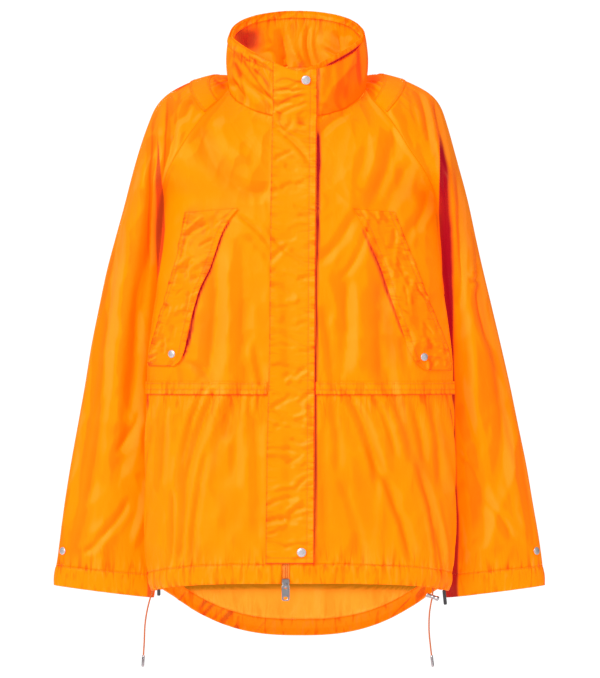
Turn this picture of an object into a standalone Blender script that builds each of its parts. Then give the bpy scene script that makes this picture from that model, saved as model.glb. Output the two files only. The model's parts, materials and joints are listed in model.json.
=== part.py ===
"""A rain jacket in its worn, hollow shape, built from the pieces that a maker cuts and sews.

Metres, +Z up, the front faces -Y. The origin is the middle of the neck's base, where the wearer's
shoulders carry the jacket. Left and right are as seen from the front: left is -X.

Every cloth piece is a sheet of outer points, worked out from the section tables below, with a wall
behind it. Pieces that are sewn together share the points of their seam, and each stands back from it.
"""

import math
from types import SimpleNamespace

import bmesh
import bpy
from mathutils import Vector

# ---------------------------------------------------------------- driving dimensions, in metres

CLOTH = 0.0012  # one layer of nylon
DOUBLED = 0.0018  # a flap or band of two layers
CASING = 0.0022  # a rolled hem, cuff or rim
SEAM_INSET = 0.0002  # how far each piece stands back from its seam
CLEAR = 0.0004  # between a piece and what it lies on
CASING_GAP = 0.0006  # between the tape's end and the hem's ends on each side

NECK_CENTRE = Vector((-0.004, -0.014, 0.0))
NECK_HALF_WIDTH = 0.0955
NECK_FRONT = 0.088
NECK_BACK = 0.082
NECK_ROUND = 2.1

RIM_HALF_WIDTH = 0.0950
RIM_FRONT = 0.104
RIM_BACK = 0.090
RIM_MIDDLE_Z = 0.068
RIM_CASING = 0.86  # where the rim's casing starts, as a share of the collar's height
COLLAR_SWELL = 0.004
LAYER_GAP = 0.0015  # between the collar's two layers above the neckline
ZIP_ROOM = 0.0056  # how much further back the inner layer stands behind the zip
ZIP_ROOM_WIDTH = 0.022
CRUMPLE = 0.003

UNDERARM_Z = -0.180
WAIST_Z = -0.437
FRONT_HEM_Z = -0.698
FRONT_HEM_DIP = 0.015
BACK_HEM_Z = -0.785
BACK_HEM_RISE = 0.072
HEM_CASING = 0.027
TAIL_CASING = 0.023

ZIP_X = -0.0196
ZIP_GAP = 0.006  # half the gap between the fronts
TAPE_HALF = 0.013
CHAIN_HALF = 0.0025
TOOTH_DEPTH = 0.0014
TAPE_BEHIND = 0.0019  # how far the tape lies behind the fronts' outer face
TAPE_BEHIND_COLLAR = 0.0020  # how much further it lies behind the collar
TAPE_BEHIND_NECK = 0.0012  # and behind the top of the fronts, above this level
TAPE_NECK_LEVEL = 3
TAPE_AT_HEM = 0.0022  # how far it stands back between the hem's ends, behind the teeth
FLAP_LIFT = 0.0006  # how far the storm flap stands off the front at its sewn edge
FLAP_RISE = 0.0016  # and how much further at its free edge
FLAP_OVER_COLLAR = 0.0008
POCKET_LIFT = 0.0009
POCKET_RISE = 0.0022
STRAP_LIFT = 0.0010
SNAP_LIFT = 0.0003
TUCK = 0.10  # how far the sides are pressed in where the sleeves lie, as a share of the half width
TUCK_START_Y = -0.075
TUCK_FADE = 0.060  # how far below the underarm the tuck reaches its depth

SNAP_RADIUS = 0.0063
SMALL_SNAP_RADIUS = 0.0054
CORD_RADIUS = 0.00105
LOCK_ROOM = 0.0008  # round the cord in the cord lock
TIP_RADIUS = 0.0019
TIP_LENGTH = 0.016

PULL_WIDTH = 0.0110
PULL_LENGTH = 0.0222
PULL_THICKNESS = 0.0016
BAIL_INNER = 0.0018
BAIL_OUTER = 0.0030
BAIL_WIDTH = 0.0024
PULL_AXIS = Vector((ZIP_X, -0.1361, -0.7000))

# Levels count down the body: 0 at the neckline, then the seams below.
UNDERARM, WAIST, CASING_TOP, HEM = 8, 14, 21, 22
# Stations count down a sleeve: 0 at the neckline, then the seams below.
CUFF_SEAM, CUFF_END = 19, 20

LEFT, RIGHT = "left", "right"
SIGN = {LEFT: -1.0, RIGHT: 1.0}
FRONT, BACK = "front", "back"


class Table:
    """Rows of named columns. The first column is the key, and a smooth curve joins the rows."""

    def __init__(self, columns, *rows):
        self.columns = columns.split()
        self.rows = rows

    def slope(self, i, column):
        before, after = self.rows[max(i - 1, 0)], self.rows[min(i + 1, len(self.rows) - 1)]
        return (after[column] - before[column]) / (after[0] - before[0])

    def at(self, key):
        down = self.rows[-1][0] < self.rows[0][0]
        i = 0
        while i < len(self.rows) - 2 and (key < self.rows[i + 1][0] if down else key > self.rows[i + 1][0]):
            i += 1
        low, high = self.rows[i], self.rows[i + 1]
        span = high[0] - low[0]
        t = min(max((key - low[0]) / span, 0.0), 1.0)
        values = {}
        for column, name in enumerate(self.columns):
            rise = high[column] - low[column]
            start = self.slope(i, column) * span
            end = self.slope(i + 1, column) * span
            bend = t * (1 - t) * ((start - rise) * (1 - t) + (rise - end) * t)
            values[name] = low[column] + rise * t + bend
        return SimpleNamespace(**values)


# The raglan seams, where the sleeves meet the fronts and the back, from the neckline to the underarm.
RAGLAN = Table(
    "level left_x right_x front_y front_z back_x back_y back_z",
    (0, 0.0985, 0.0895, -0.024, -0.0150, 0.080, 0.040, 0.008),
    (1, 0.1120, 0.1010, -0.052, -0.0310, 0.094, 0.058, 0.000),
    (2, 0.1250, 0.1130, -0.072, -0.0450, 0.108, 0.073, -0.012),
    (3, 0.1373, 0.1250, -0.086, -0.0600, 0.123, 0.085, -0.028),
    (4, 0.1510, 0.1375, -0.096, -0.0785, 0.138, 0.093, -0.048),
    (5, 0.1660, 0.1520, -0.101, -0.1020, 0.153, 0.097, -0.073),
    (6, 0.1805, 0.1690, -0.096, -0.1265, 0.170, 0.092, -0.104),
    (7, 0.1895, 0.1830, -0.068, -0.1510, 0.184, 0.066, -0.140),
    (8, 0.1930, 0.1930, 0.000, -0.1800, 0.1930, 0.000, -0.180),
)

# The middle of the front and of the back at each level above the underarm.
CHEST = Table(
    "level front_y front_z back_y back_z front_round back_round",
    (0, -0.1020, -0.0590, 0.068, 0.022, 2.1, 2.1),
    (1, -0.1060, -0.0730, 0.076, 0.010, 2.2, 2.1),
    (2, -0.1095, -0.0870, 0.084, -0.004, 2.3, 2.2),
    (3, -0.1130, -0.1010, 0.091, -0.022, 2.4, 2.2),
    (4, -0.1160, -0.1150, 0.097, -0.044, 2.5, 2.3),
    (5, -0.1185, -0.1300, 0.102, -0.070, 2.6, 2.3),
    (6, -0.1205, -0.1460, 0.106, -0.101, 2.7, 2.4),
    (7, -0.1220, -0.1630, 0.109, -0.138, 2.85, 2.4),
    (8, -0.1230, -0.1800, 0.111, -0.180, 3.0, 2.4),
)

# The body below the underarm: one row for each section.
TORSO = Table(
    "z half_width front_y back_y front_round back_round",
    (-0.180, 0.1930, -0.1230, 0.111, 3.0, 2.4),
    (-0.240, 0.2038, -0.1255, 0.112, 3.0, 2.4),
    (-0.290, 0.2075, -0.1275, 0.111, 3.0, 2.4),
    (-0.335, 0.2142, -0.1285, 0.109, 3.0, 2.4),
    (-0.390, 0.2210, -0.1290, 0.107, 3.0, 2.4),
    (-0.440, 0.2221, -0.1285, 0.107, 3.0, 2.4),
    (-0.520, 0.2241, -0.1300, 0.110, 3.0, 2.4),
    (-0.600, 0.2257, -0.1310, 0.113, 3.0, 2.4),
    (-0.650, 0.2252, -0.1305, 0.114, 3.0, 2.4),
    (-0.690, 0.2200, -0.1290, 0.114, 3.0, 2.4),
    (-0.720, 0.2158, -0.1270, 0.113, 3.0, 2.4),
    (-0.790, 0.2116, -0.1270, 0.109, 3.0, 2.4),
)

# The top of each shoulder and the outer fold of each sleeve, from the neckline to the underarm.
SHOULDER = Table(
    "station left_x left_z right_x right_z depth",
    (0, 0.0990, 0.0000, 0.0912, 0.0000, 0.032),
    (1, 0.1210, 0.0035, 0.1130, 0.0045, 0.055),
    (2, 0.1430, -0.0005, 0.1370, 0.0005, 0.073),
    (3, 0.1650, -0.0085, 0.1600, -0.0075, 0.086),
    (4, 0.1860, -0.0205, 0.1830, -0.0205, 0.095),
    (5, 0.2015, -0.0375, 0.1970, -0.0375, 0.100),
    (6, 0.2125, -0.0630, 0.2065, -0.0640, 0.101),
    (7, 0.2230, -0.0935, 0.2150, -0.0945, 0.100),
    (8, 0.2350, -0.1340, 0.2260, -0.1370, 0.096),
)

# The sleeve tubes below the underarm: one row for each ring.
ARM = Table(
    "station inner_x inner_z left_x right_x outer_z depth y",
    (8, 0.1930, -0.1800, 0.2350, 0.2260, -0.134, 0.096, 0.000),
    (9, 0.1915, -0.2050, 0.2457, 0.2366, -0.175, 0.091, 0.012),
    (10, 0.1893, -0.2400, 0.2576, 0.2457, -0.217, 0.085, 0.019),
    (11, 0.1902, -0.2850, 0.2709, 0.2569, -0.266, 0.079, 0.024),
    (12, 0.1966, -0.3350, 0.2821, 0.2695, -0.318, 0.073, 0.026),
    (13, 0.2027, -0.3900, 0.2933, 0.2828, -0.374, 0.066, 0.026),
    (14, 0.2036, -0.4450, 0.3024, 0.2954, -0.430, 0.059, 0.024),
    (15, 0.2050, -0.5000, 0.3122, 0.3066, -0.485, 0.052, 0.021),
    (16, 0.2062, -0.5550, 0.3220, 0.3178, -0.540, 0.046, 0.018),
    (17, 0.2070, -0.6100, 0.3304, 0.3269, -0.594, 0.040, 0.015),
    (18, 0.2062, -0.6550, 0.3360, 0.3346, -0.639, 0.036, 0.012),
    (19, 0.2045, -0.6920, 0.3416, 0.3402, -0.679, 0.032, 0.010),
    (20, 0.2040, -0.7246, 0.3444, 0.3437, -0.707, 0.030, 0.010),
)

# Broad folds that run down a sleeve: where each starts round the ring, how it drifts, how deep it is.
SLEEVE_FOLDS = Table(
    "fold around drift first last width depth",
    (0, 0.17, 0.020, 5, 16, 0.030, -0.0050),
    (1, 0.27, -0.040, 6, 18, 0.035, 0.0050),
    (2, 0.36, 0.030, 8, 19, 0.030, -0.0045),
    (3, 0.62, -0.020, 7, 18, 0.035, -0.0050),
    (4, 0.74, 0.030, 6, 17, 0.035, 0.0050),
    (5, 0.85, 0.010, 9, 19, 0.030, -0.0045),
)

# The storm flap's two edges down the body.
FLAP_EDGES = Table(
    "z left_x right_x",
    (0.020, -0.0377, 0.0236),
    (-0.060, -0.0385, 0.0230),
    (-0.172, -0.0405, 0.0219),
    (-0.378, -0.0425, 0.0205),
    (-0.509, -0.0456, 0.0197),
    (-0.672, -0.0473, 0.0189),
)

# The pocket flaps, from the top edge to the snap: the sewn edge and the free edge of each row.
POCKET_FLAP = {
    LEFT: Table(
        "row sewn_x sewn_z free_x free_z",
        (0, -0.1569, -0.1878, -0.0844, -0.1830),
        (1, -0.1597, -0.2015, -0.0975, -0.2000),
        (2, -0.1638, -0.2236, -0.1091, -0.2228),
        (3, -0.1686, -0.2470, -0.1165, -0.2447),
        (4, -0.1748, -0.2704, -0.1247, -0.2680),
        (5, -0.1835, -0.2993, -0.1376, -0.2968),
        (6, -0.1935, -0.3294, -0.1467, -0.3270),
        (7, -0.2020, -0.3585, -0.1535, -0.3585),
        (8, -0.2070, -0.3806, -0.1586, -0.3804),
        (9, -0.2085, -0.3916, -0.1638, -0.3928),
        (10, -0.2080, -0.3996, -0.1727, -0.3996),
    ),
    RIGHT: Table(
        "row sewn_x sewn_z free_x free_z",
        (0, 0.1294, -0.1878, 0.0727, -0.1837),
        (1, 0.1377, -0.2084, 0.0877, -0.2084),
        (2, 0.1494, -0.2387, 0.1001, -0.2392),
        (3, 0.1611, -0.2676, 0.1117, -0.2666),
        (4, 0.1721, -0.2965, 0.1217, -0.2968),
        (5, 0.1845, -0.3254, 0.1309, -0.3263),
        (6, 0.1960, -0.3543, 0.1405, -0.3530),
        (7, 0.2030, -0.3750, 0.1478, -0.3749),
        (8, 0.2075, -0.3916, 0.1549, -0.3896),
        (9, 0.2085, -0.3999, 0.1618, -0.3989),
        (10, 0.2075, -0.4061, 0.1714, -0.4051),
    ),
}

# The waist's welts, from the top edge down: how far the band's inner face stands off the front.
WAIST_WELT = Table(
    "z lift",
    (-0.4215, 0.0006),
    (-0.4310, 0.0010),
    (-0.4392, 0.0014),
)
WELT_END_X = {LEFT: -0.0450, RIGHT: 0.0215}
WELT_SIDE = 0.996  # where a welt starts at the side, as a share of the half width

# The snaps on the body: the place on the front and how far the cloth under each stands off it.
SNAPS = Table(
    "snap x z radius lift",
    (0, 0.0021, -0.6548, SNAP_RADIUS, 0.0019),
    (1, -0.1741, -0.3832, SMALL_SNAP_RADIUS, 0.0024),
    (2, 0.1686, -0.3873, SMALL_SNAP_RADIUS, 0.0024),
)
COLLAR_SNAP_X = 0.0082
COLLAR_SNAP_HEIGHT = 0.80
COLLAR_SNAP_LIFT = 0.0033
CUFF_SNAP_STATION = 18.45
CUFF_SNAP_AROUND = 0.41
CUFF_SNAP_LIFT = 0.0006

# How many columns of points each piece has across.
FRONT_COLUMNS = 8
SKIRT_COLUMNS = 32
BACK_COLUMNS = 18
SLEEVE_COLUMNS = 22
COLLAR_COLUMNS = 32
WELT_COLUMNS = 12

WAVES = 8  # gathers on each lower front
WAVE_HEIGHT = 0.0022


# ---------------------------------------------------------------- curves and sections

def blend(a, b, t):
    return a + (b - a) * t


def ramp(t):
    """A smooth step from 0 to 1."""
    t = min(max(t, 0.0), 1.0)
    return t * t * (3 - 2 * t)


def section(angle, roundness):
    """A point on a unit section: across and along for an angle from its middle."""
    s, c = math.sin(angle), math.cos(angle)
    size = (abs(s) ** roundness + abs(c) ** roundness) ** (-1 / roundness)
    return s * size, c * size


def section_angle(across, roundness):
    """The angle at which a unit section reaches a distance across."""
    share = min(abs(across), 1.0)
    along = max(1 - share ** roundness, 0.0) ** (1 / roundness)
    return math.copysign(math.atan2(share, along), across)


def neck_height(y):
    return -0.003 + 0.45 * y - 0.9 * y * y


def neck_point(turn):
    """The neckline at a plan angle: 0 at +X, a quarter turn at the back."""
    x, y = section(math.pi / 2 - turn, NECK_ROUND)
    y *= NECK_BACK if y > 0 else NECK_FRONT
    point = NECK_CENTRE + Vector((x * NECK_HALF_WIDTH, y, 0))
    point.z = neck_height(point.y)
    return point


def neck_turn(point):
    """The plan angle of a point about the neck."""
    offset = point - NECK_CENTRE
    depth = NECK_BACK if offset.y > 0 else NECK_FRONT
    return math.atan2(offset.y / depth, offset.x / NECK_HALF_WIDTH)


def onto_neckline(point, start, turn, level):
    """Move a point so that its column, which starts at a place, starts at a turn of the neckline."""
    return point + (neck_point(turn) - start) * (1 - level) ** 2


# ---------------------------------------------------------------- the body

def tuck(y, z):
    """How much narrower the body is below the underarm, where the sleeves press on its sides."""
    return 1 - TUCK * ramp((y - TUCK_START_Y) / -TUCK_START_Y) * ramp((UNDERARM_Z - z) / TUCK_FADE)


def raglan_point(side, face, level):
    seam = RAGLAN.at(level)
    if face == FRONT:
        x = seam.left_x if side == LEFT else seam.right_x
        return Vector((SIGN[side] * x, seam.front_y, seam.front_z))
    return Vector((SIGN[side] * seam.back_x, seam.back_y, seam.back_z))


def chest_half(side, face, level):
    """The half section of the front or back at a level above the underarm."""
    row = CHEST.at(level)
    middle = Vector((0, row.front_y, row.front_z)) if face == FRONT else Vector((0, row.back_y, row.back_z))
    roundness = row.front_round if face == FRONT else row.back_round
    end = raglan_point(side, face, level)
    share = min(abs(end.y / middle.y), 1.0)
    reach = abs(end.x) / (1 - share ** roundness) ** (1 / roundness)
    return SimpleNamespace(middle=middle, roundness=roundness, end=end, reach=reach)


def chest_edge_angle(side, face, level):
    half = chest_half(side, face, level)
    return section_angle(half.end.x / half.reach, half.roundness)


def raw_chest_point(face, level, angle):
    half = chest_half(LEFT if angle < 0 else RIGHT, face, level)
    across, along = section(angle, half.roundness)
    y = along * half.middle.y
    x = across * half.reach
    to_seam_y = (y - half.middle.y) / (half.end.y - half.middle.y)
    to_seam_x = (x / half.end.x) ** 2
    share = level / UNDERARM
    z = blend(half.middle.z, half.end.z, blend(to_seam_y, to_seam_x, share))
    return Vector((x, y, z))


def casing_height(face):
    return HEM_CASING if face == FRONT else TAIL_CASING


def hem_z(face, across):
    if face == FRONT:
        return FRONT_HEM_Z - FRONT_HEM_DIP * abs(across) ** 4
    return BACK_HEM_Z + BACK_HEM_RISE * abs(across) ** 2.6


def casing_z(face, across):
    height = blend(casing_height(face), (HEM_CASING + TAIL_CASING) / 2, abs(across) ** 6)
    return hem_z(face, across) + height


def torso_point(face, across, along, z):
    row = TORSO.at(z)
    y = along * (row.front_y if face == FRONT else row.back_y)
    return Vector((across * row.half_width * tuck(y, z), y, z))


def gather(face, level, angle, share):
    """How far the cloth of the lower fronts stands out in gathers, below the waist seam."""
    if face == BACK or level <= WAIST:
        return 0.0
    drop = level - WAIST
    height = ramp(drop / 0.8) * (0.35 + 0.65 * math.exp(-((drop - 0.8) / 2.4) ** 2))
    hidden = 0.11 if angle < math.radians(-10) else 0.17
    edge = ramp(share / 0.06) * ramp((1 - share - hidden) / 0.06)
    slant = 0.055 * drop
    wave = math.sin(2 * math.pi * (share + slant) * WAVES) * (0.7 + 0.3 * math.sin(9.7 * share))
    return WAVE_HEIGHT * height * edge * wave


def body_point(face, level, angle, share=0.5):
    """A point on the outer face of the body; share runs 0 to 1 across its own piece."""
    if level <= UNDERARM:
        point = raw_chest_point(face, level, angle)
        if level < 1:
            start = raw_chest_point(face, 0, angle)
            point = onto_neckline(point, start, neck_turn(start), level)
        return point
    roundness = 3.0 if face == FRONT else 2.4
    across, along = section(angle, roundness)
    if level <= WAIST:
        z = blend(UNDERARM_Z, WAIST_Z, (level - UNDERARM) / (WAIST - UNDERARM))
    elif level <= CASING_TOP:
        z = blend(WAIST_Z, casing_z(face, across), (level - WAIST) / (CASING_TOP - WAIST))
    else:
        z = blend(casing_z(face, across), hem_z(face, across), level - CASING_TOP)
    point = torso_point(face, across, along, z)
    return point + torso_normal(point) * gather(face, level, angle, share)


def torso_normal(point):
    """The way out of the body at a point below the underarm."""
    row = TORSO.at(point.z)
    front = point.y < 0
    depth = row.front_y if front else row.back_y
    roundness = row.front_round if front else row.back_round
    nx = math.copysign(abs(point.x / row.half_width) ** (roundness - 1) / row.half_width, point.x)
    ny = math.copysign(abs(point.y / depth) ** (roundness - 1) / abs(depth), point.y)
    return Vector((nx, ny, 0)).normalized()


def front_at(x, z):
    """The point and the way out of the front at a place below the underarm."""
    row = TORSO.at(z)
    angle = section_angle(x / row.half_width, row.front_round)
    across, along = section(angle, row.front_round)
    point = torso_point(FRONT, across, along, z)
    return point, torso_normal(point)


def edge_angle(side, face, level):
    if level >= UNDERARM:
        return SIGN[side] * math.pi / 2
    return chest_edge_angle(side, face, level)


def middle_angle(face, level, x):
    """The angle at which the body is at a small distance x from its middle."""
    if level <= UNDERARM:
        half = chest_half(LEFT if x < 0 else RIGHT, face, level)
        return section_angle(x / half.reach, half.roundness)
    row = TORSO.at(blend(UNDERARM_Z, FRONT_HEM_Z, (level - UNDERARM) / (HEM - UNDERARM)))
    return section_angle(x / row.half_width, row.front_round)


# ---------------------------------------------------------------- the sleeves

def sleeve_ring(side, station):
    """Where a sleeve starts, turns over and ends at a station, and how deep it is."""
    if station <= UNDERARM:
        row = SHOULDER.at(station)
        x, z = (row.left_x, row.left_z) if side == LEFT else (row.right_x, row.right_z)
        start = raglan_point(side, FRONT, station)
        end = raglan_point(side, BACK, station)
        outer = Vector((SIGN[side] * x, 0.004 * math.sin(math.pi * station / UNDERARM), z))
        return SimpleNamespace(start=start, end=end, outer=outer, depth=row.depth)
    row = ARM.at(station)
    inner = Vector((SIGN[side] * row.inner_x, row.y, row.inner_z))
    x = row.left_x if side == LEFT else row.right_x
    outer = Vector((SIGN[side] * x, row.y, row.outer_z))
    return SimpleNamespace(start=inner, end=inner, outer=outer, depth=row.depth)


def raw_sleeve_point(side, station, around):
    ring = sleeve_ring(side, station)
    middle = (ring.start + ring.end) / 2
    opening = (ring.start - ring.end).length / 2
    cut = math.asin(min(opening / ring.depth, 1.0))
    centre = (middle + ring.outer * math.cos(cut)) / (1 + math.cos(cut))
    if opening > 1e-6:
        forward = (ring.start - ring.end) / (2 * math.sin(cut))
    else:
        forward = Vector((0, -ring.depth, 0))
    angle = blend(math.pi - cut, cut - math.pi, around)
    roundness = blend(2.0, 2.5, ramp((station - UNDERARM) / 3))
    forth, out = section(angle, roundness)
    point = centre + (ring.outer - centre) * out + forward * forth
    return point, centre


def sleeve_turn(side, around):
    """The neckline's turn at the top of a sleeve."""
    ring = sleeve_ring(side, 0)
    front, back = neck_turn(ring.start), neck_turn(ring.end)
    if side == LEFT:
        front += 2 * math.pi
    return blend(front, back, around)


def sleeve_fold(station, around):
    total = 0.0
    for row in SLEEVE_FOLDS.rows:
        _, place, drift, first, last, width, depth = row
        run = (station - first) / (last - first)
        if 0 < run < 1:
            offset = (around - place - drift * run) / width
            total += depth * math.exp(-offset * offset) * math.sin(math.pi * run)
    return total


def sleeve_point(side, station, around):
    """A point on the outer face of a sleeve, around from its front seam over the top to the back."""
    point, centre = raw_sleeve_point(side, station, around)
    if station < 1:
        start, _ = raw_sleeve_point(side, 0, around)
        point = onto_neckline(point, start, sleeve_turn(side, around), station)
    return point + (point - centre).normalized() * sleeve_fold(station, around)


def sleeve_normal(side, station, around):
    step = 0.01
    across = sleeve_point(side, station, around + step) - sleeve_point(side, station, around - step)
    down = sleeve_point(side, station + step, around) - sleeve_point(side, station - step, around)
    normal = across.cross(down).normalized()
    _, centre = raw_sleeve_point(side, station, around)
    outward = sleeve_point(side, station, around) - centre
    return normal if normal.dot(outward) > 0 else -normal


# ---------------------------------------------------------------- the collar

def rim_point(turn, outer):
    """The collar's top edge; the outer layer's right front stands away from the inner one."""
    s, c = math.sin(turn), math.cos(turn)
    if s > 0:
        roundness = 2.2
    elif c > 0 and outer:
        roundness = 1.85
    else:
        roundness = 1.22
    x, y = section(math.pi / 2 - turn, roundness)
    y *= RIM_BACK if y > 0 else RIM_FRONT
    point = NECK_CENTRE + Vector((x * RIM_HALF_WIDTH, y, 0))
    lift = point.y + 0.014
    point.z = RIM_MIDDLE_Z - 0.007 + lift * (0.53 if lift < 0 else 0.46)
    return point


def collar_point(turn, height, outer=True):
    """A point on the outer face of a collar layer, from the neckline up to the rim."""
    low = neck_point(turn) + Vector((0, 0, CLEAR))
    high = rim_point(turn, outer)
    point = blend(low, high, height)
    away = Vector((point.x - NECK_CENTRE.x, point.y - NECK_CENTRE.y, 0)).normalized()
    swell = COLLAR_SWELL * math.sin(math.pi * height)
    if outer:
        return point + away * swell
    behind_zip = math.exp(-(((point.x - ZIP_X) / ZIP_ROOM_WIDTH) ** 2)) if point.y < NECK_CENTRE.y else 0.0
    inset = CLOTH + CLEAR + LAYER_GAP * ramp(height * 4) + ZIP_ROOM * behind_zip
    crumple = CRUMPLE * math.sin(math.pi * height) * (1 + math.sin(5 * turn))
    return point + away * (swell - inset - crumple)


def collar_front_at(x, height):
    """The outer collar's front at a distance x from the middle."""
    low, high = math.radians(200), math.radians(340)
    for _ in range(24):
        turn = (low + high) / 2
        if collar_point(turn, height).x < x:
            low = turn
        else:
            high = turn
    return collar_point(turn, height)


# ---------------------------------------------------------------- solids

def finish(name, colour, roughness, metallic=0.0):
    material = bpy.data.materials.new(name)
    material.use_nodes = True
    shader = material.node_tree.nodes["Principled BSDF"]
    shader.inputs["Base Color"].default_value = (*colour, 1)
    shader.inputs["Roughness"].default_value = roughness
    shader.inputs["Metallic"].default_value = metallic
    material.diffuse_color = (*colour, 1)
    return material


def place(name, mesh, material):
    mesh.materials.append(material)
    obj = bpy.data.objects.new(name, mesh)
    bpy.context.scene.collection.objects.link(obj)
    return obj


def mesh_from(bm, name):
    bmesh.ops.recalc_face_normals(bm, faces=bm.faces[:])
    mesh = bpy.data.meshes.new(name)
    bm.to_mesh(mesh)
    bm.free()
    return mesh


def seam_key(point):
    return round(point.x, 5), round(point.y, 5), round(point.z, 5)


class Sheet:
    """One cut piece: its outer points, its faces and the place that it curves round."""

    def __init__(self, name, rows, thickness, material, core):
        self.name = name
        self.thickness = thickness
        self.material = material
        self.points = []
        self.keys = []
        self.faces = []
        index = {}
        grid = []
        for row in rows:
            line = []
            for point in row:
                key = seam_key(point)
                if key not in index:
                    index[key] = len(self.points)
                    self.points.append(point.copy())
                    self.keys.append(key)
                line.append(index[key])
            grid.append(line)
        for upper, lower in zip(grid, grid[1:]):
            for i in range(len(upper) - 1):
                corners = []
                for corner in (upper[i], lower[i], lower[i + 1], upper[i + 1]):
                    if corner not in corners:
                        corners.append(corner)
                if len(corners) > 2:
                    self.faces.append(corners)
        self.turn_outwards(core)

    def face_normal(self, face):
        a, b, c = (self.points[i] for i in face[:3])
        d = self.points[face[-1]]
        return (c - a).cross(d - b)

    def turn_outwards(self, core):
        total = sum(self.face_normal(f).dot(self.points[f[0]] - core) for f in self.faces)
        if total < 0:
            self.faces = [face[::-1] for face in self.faces]
        self.normals = [Vector() for _ in self.points]
        for face in self.faces:
            normal = self.face_normal(face)
            for corner in face:
                self.normals[corner] += normal
        for normal in self.normals:
            normal.normalize()

    def halves(self, face):
        """A face's triangles, cut along its shorter diagonal, so that both sides of the wall bend alike."""
        if len(face) == 3:
            return (face,)
        a, b, c, d = face
        if (self.points[a] - self.points[c]).length < (self.points[b] - self.points[d]).length:
            return ((a, b, c), (a, c, d))
        return ((a, b, d), (b, c, d))

    def border(self):
        """Each edge that only one face has, in that face's order."""
        edges = {}
        for face in self.faces:
            for a, b in zip(face, face[1:] + face[:1]):
                edges[(a, b)] = True
        return [edge for edge in edges if (edge[1], edge[0]) not in edges]

    def stand_back(self, border):
        """Move the border points in along the cloth, away from the seam."""
        inward = {a: Vector() for a, _ in border}
        for face in self.faces:
            centre = sum((self.points[i] for i in face), Vector()) / len(face)
            for corner in face:
                if corner in inward:
                    inward[corner] += (centre - self.points[corner]).normalized()
        for corner, way in inward.items():
            way -= self.normals[corner] * way.dot(self.normals[corner])
            self.points[corner] += way.normalized() * SEAM_INSET

    def solid(self, seams):
        inner_normals = []
        for key, normal in zip(self.keys, self.normals):
            shared = [other for other in seams[key] if other.dot(normal) > 0.5]
            inner_normals.append(sum(shared, Vector()).normalized())
        border = self.border()
        self.stand_back(border)
        bm = bmesh.new()
        outer = [bm.verts.new(point) for point in self.points]
        inner = []
        for point, normal in zip(self.points, inner_normals):
            inner.append(bm.verts.new(point - normal * self.thickness))
        for face in self.faces:
            for corners in self.halves(face):
                bm.faces.new([outer[i] for i in corners])
                bm.faces.new([inner[i] for i in reversed(corners)])
        for a, b in border:
            bm.faces.new([outer[b], outer[a], inner[a], inner[b]])
        place(self.name, mesh_from(bm, self.name), self.material)


sheets = []
BODY_CORE = Vector((0, 0, -0.35))


def cut(name, rows, thickness, material, core=BODY_CORE):
    sheets.append(Sheet(name, rows, thickness, material, core))


def sew():
    """Give every cut piece its wall, with one direction for the pieces that share a seam point."""
    seams = {}
    for sheet in sheets:
        for key, normal in zip(sheet.keys, sheet.normals):
            seams.setdefault(key, []).append(normal)
    for sheet in sheets:
        sheet.solid(seams)


def spread(count):
    return [i / count for i in range(count + 1)]


# ---------------------------------------------------------------- the cut pieces

def body_rows(face, levels, columns, start, end, mirrored=False):
    """Rows of a body piece; start and end give the angle of its two sides at a level."""
    rows = []
    for level in levels:
        low, high = start(level), end(level)
        row = []
        for share in spread(columns):
            side_share = 1 - share if mirrored else share
            row.append(body_point(face, level, blend(low, high, share), side_share))
        rows.append(row)
    return rows


def zip_edge(side):
    x = ZIP_X + SIGN[side] * ZIP_GAP
    return lambda level: middle_angle(FRONT, level, x)


def side_edge(side, face):
    return lambda level: edge_angle(side, face, level)


def make_body(nylon):
    upper = list(range(0, WAIST + 1))
    skirt = list(range(WAIST, CASING_TOP + 1))
    for side in (LEFT, RIGHT):
        outer, inner = side_edge(side, FRONT), zip_edge(side)
        cut(f"front_{side}", body_rows(FRONT, upper, FRONT_COLUMNS, outer, inner), CLOTH, nylon)
        cut(f"skirt_{side}", body_rows(FRONT, skirt, SKIRT_COLUMNS, outer, inner), CLOTH, nylon)
        hem = body_rows(FRONT, (CASING_TOP, CASING_TOP + 0.5, HEM), SKIRT_COLUMNS, outer, inner)
        cut(f"hem_front_{side}", hem, CASING, nylon)
    left, right = side_edge(LEFT, BACK), side_edge(RIGHT, BACK)
    levels = list(range(0, CASING_TOP + 1))
    cut("back", body_rows(BACK, levels, BACK_COLUMNS, left, right), CLOTH, nylon)
    hem = body_rows(BACK, (CASING_TOP, CASING_TOP + 0.5, HEM), BACK_COLUMNS, left, right)
    cut("hem_back", hem, CASING, nylon)


def make_sleeves(nylon):
    for side in (LEFT, RIGHT):
        core = Vector((SIGN[side] * 0.25, 0, -0.35))
        rows = [[sleeve_point(side, k, v) for v in spread(SLEEVE_COLUMNS)] for k in range(CUFF_SEAM + 1)]
        cut(f"sleeve_{side}", rows, CLOTH, nylon, core)
        stations = (CUFF_SEAM, CUFF_SEAM + 0.5, CUFF_END)
        rows = [[sleeve_point(side, k, v) for v in spread(SLEEVE_COLUMNS)] for k in stations]
        cut(f"cuff_{side}", rows, CASING, nylon, core + Vector((0, 0, -0.35)))


def make_straps(nylon):
    """A flat band over each shoulder, from the front raglan seam to the back one."""
    lift = DOUBLED + STRAP_LIFT
    for side in (LEFT, RIGHT):
        rows = []
        for station in (1.15, 1.8, 2.45):
            row = []
            for around in spread(12):
                place_around = blend(0.02, 0.98, around)
                point = sleeve_point(side, station, place_around)
                row.append(point + sleeve_normal(side, station, place_around) * lift)
            rows.append(row)
        cut(f"shoulder_strap_{side}", rows, DOUBLED, nylon, Vector((SIGN[side] * 0.14, 0, -0.1)))


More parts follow.
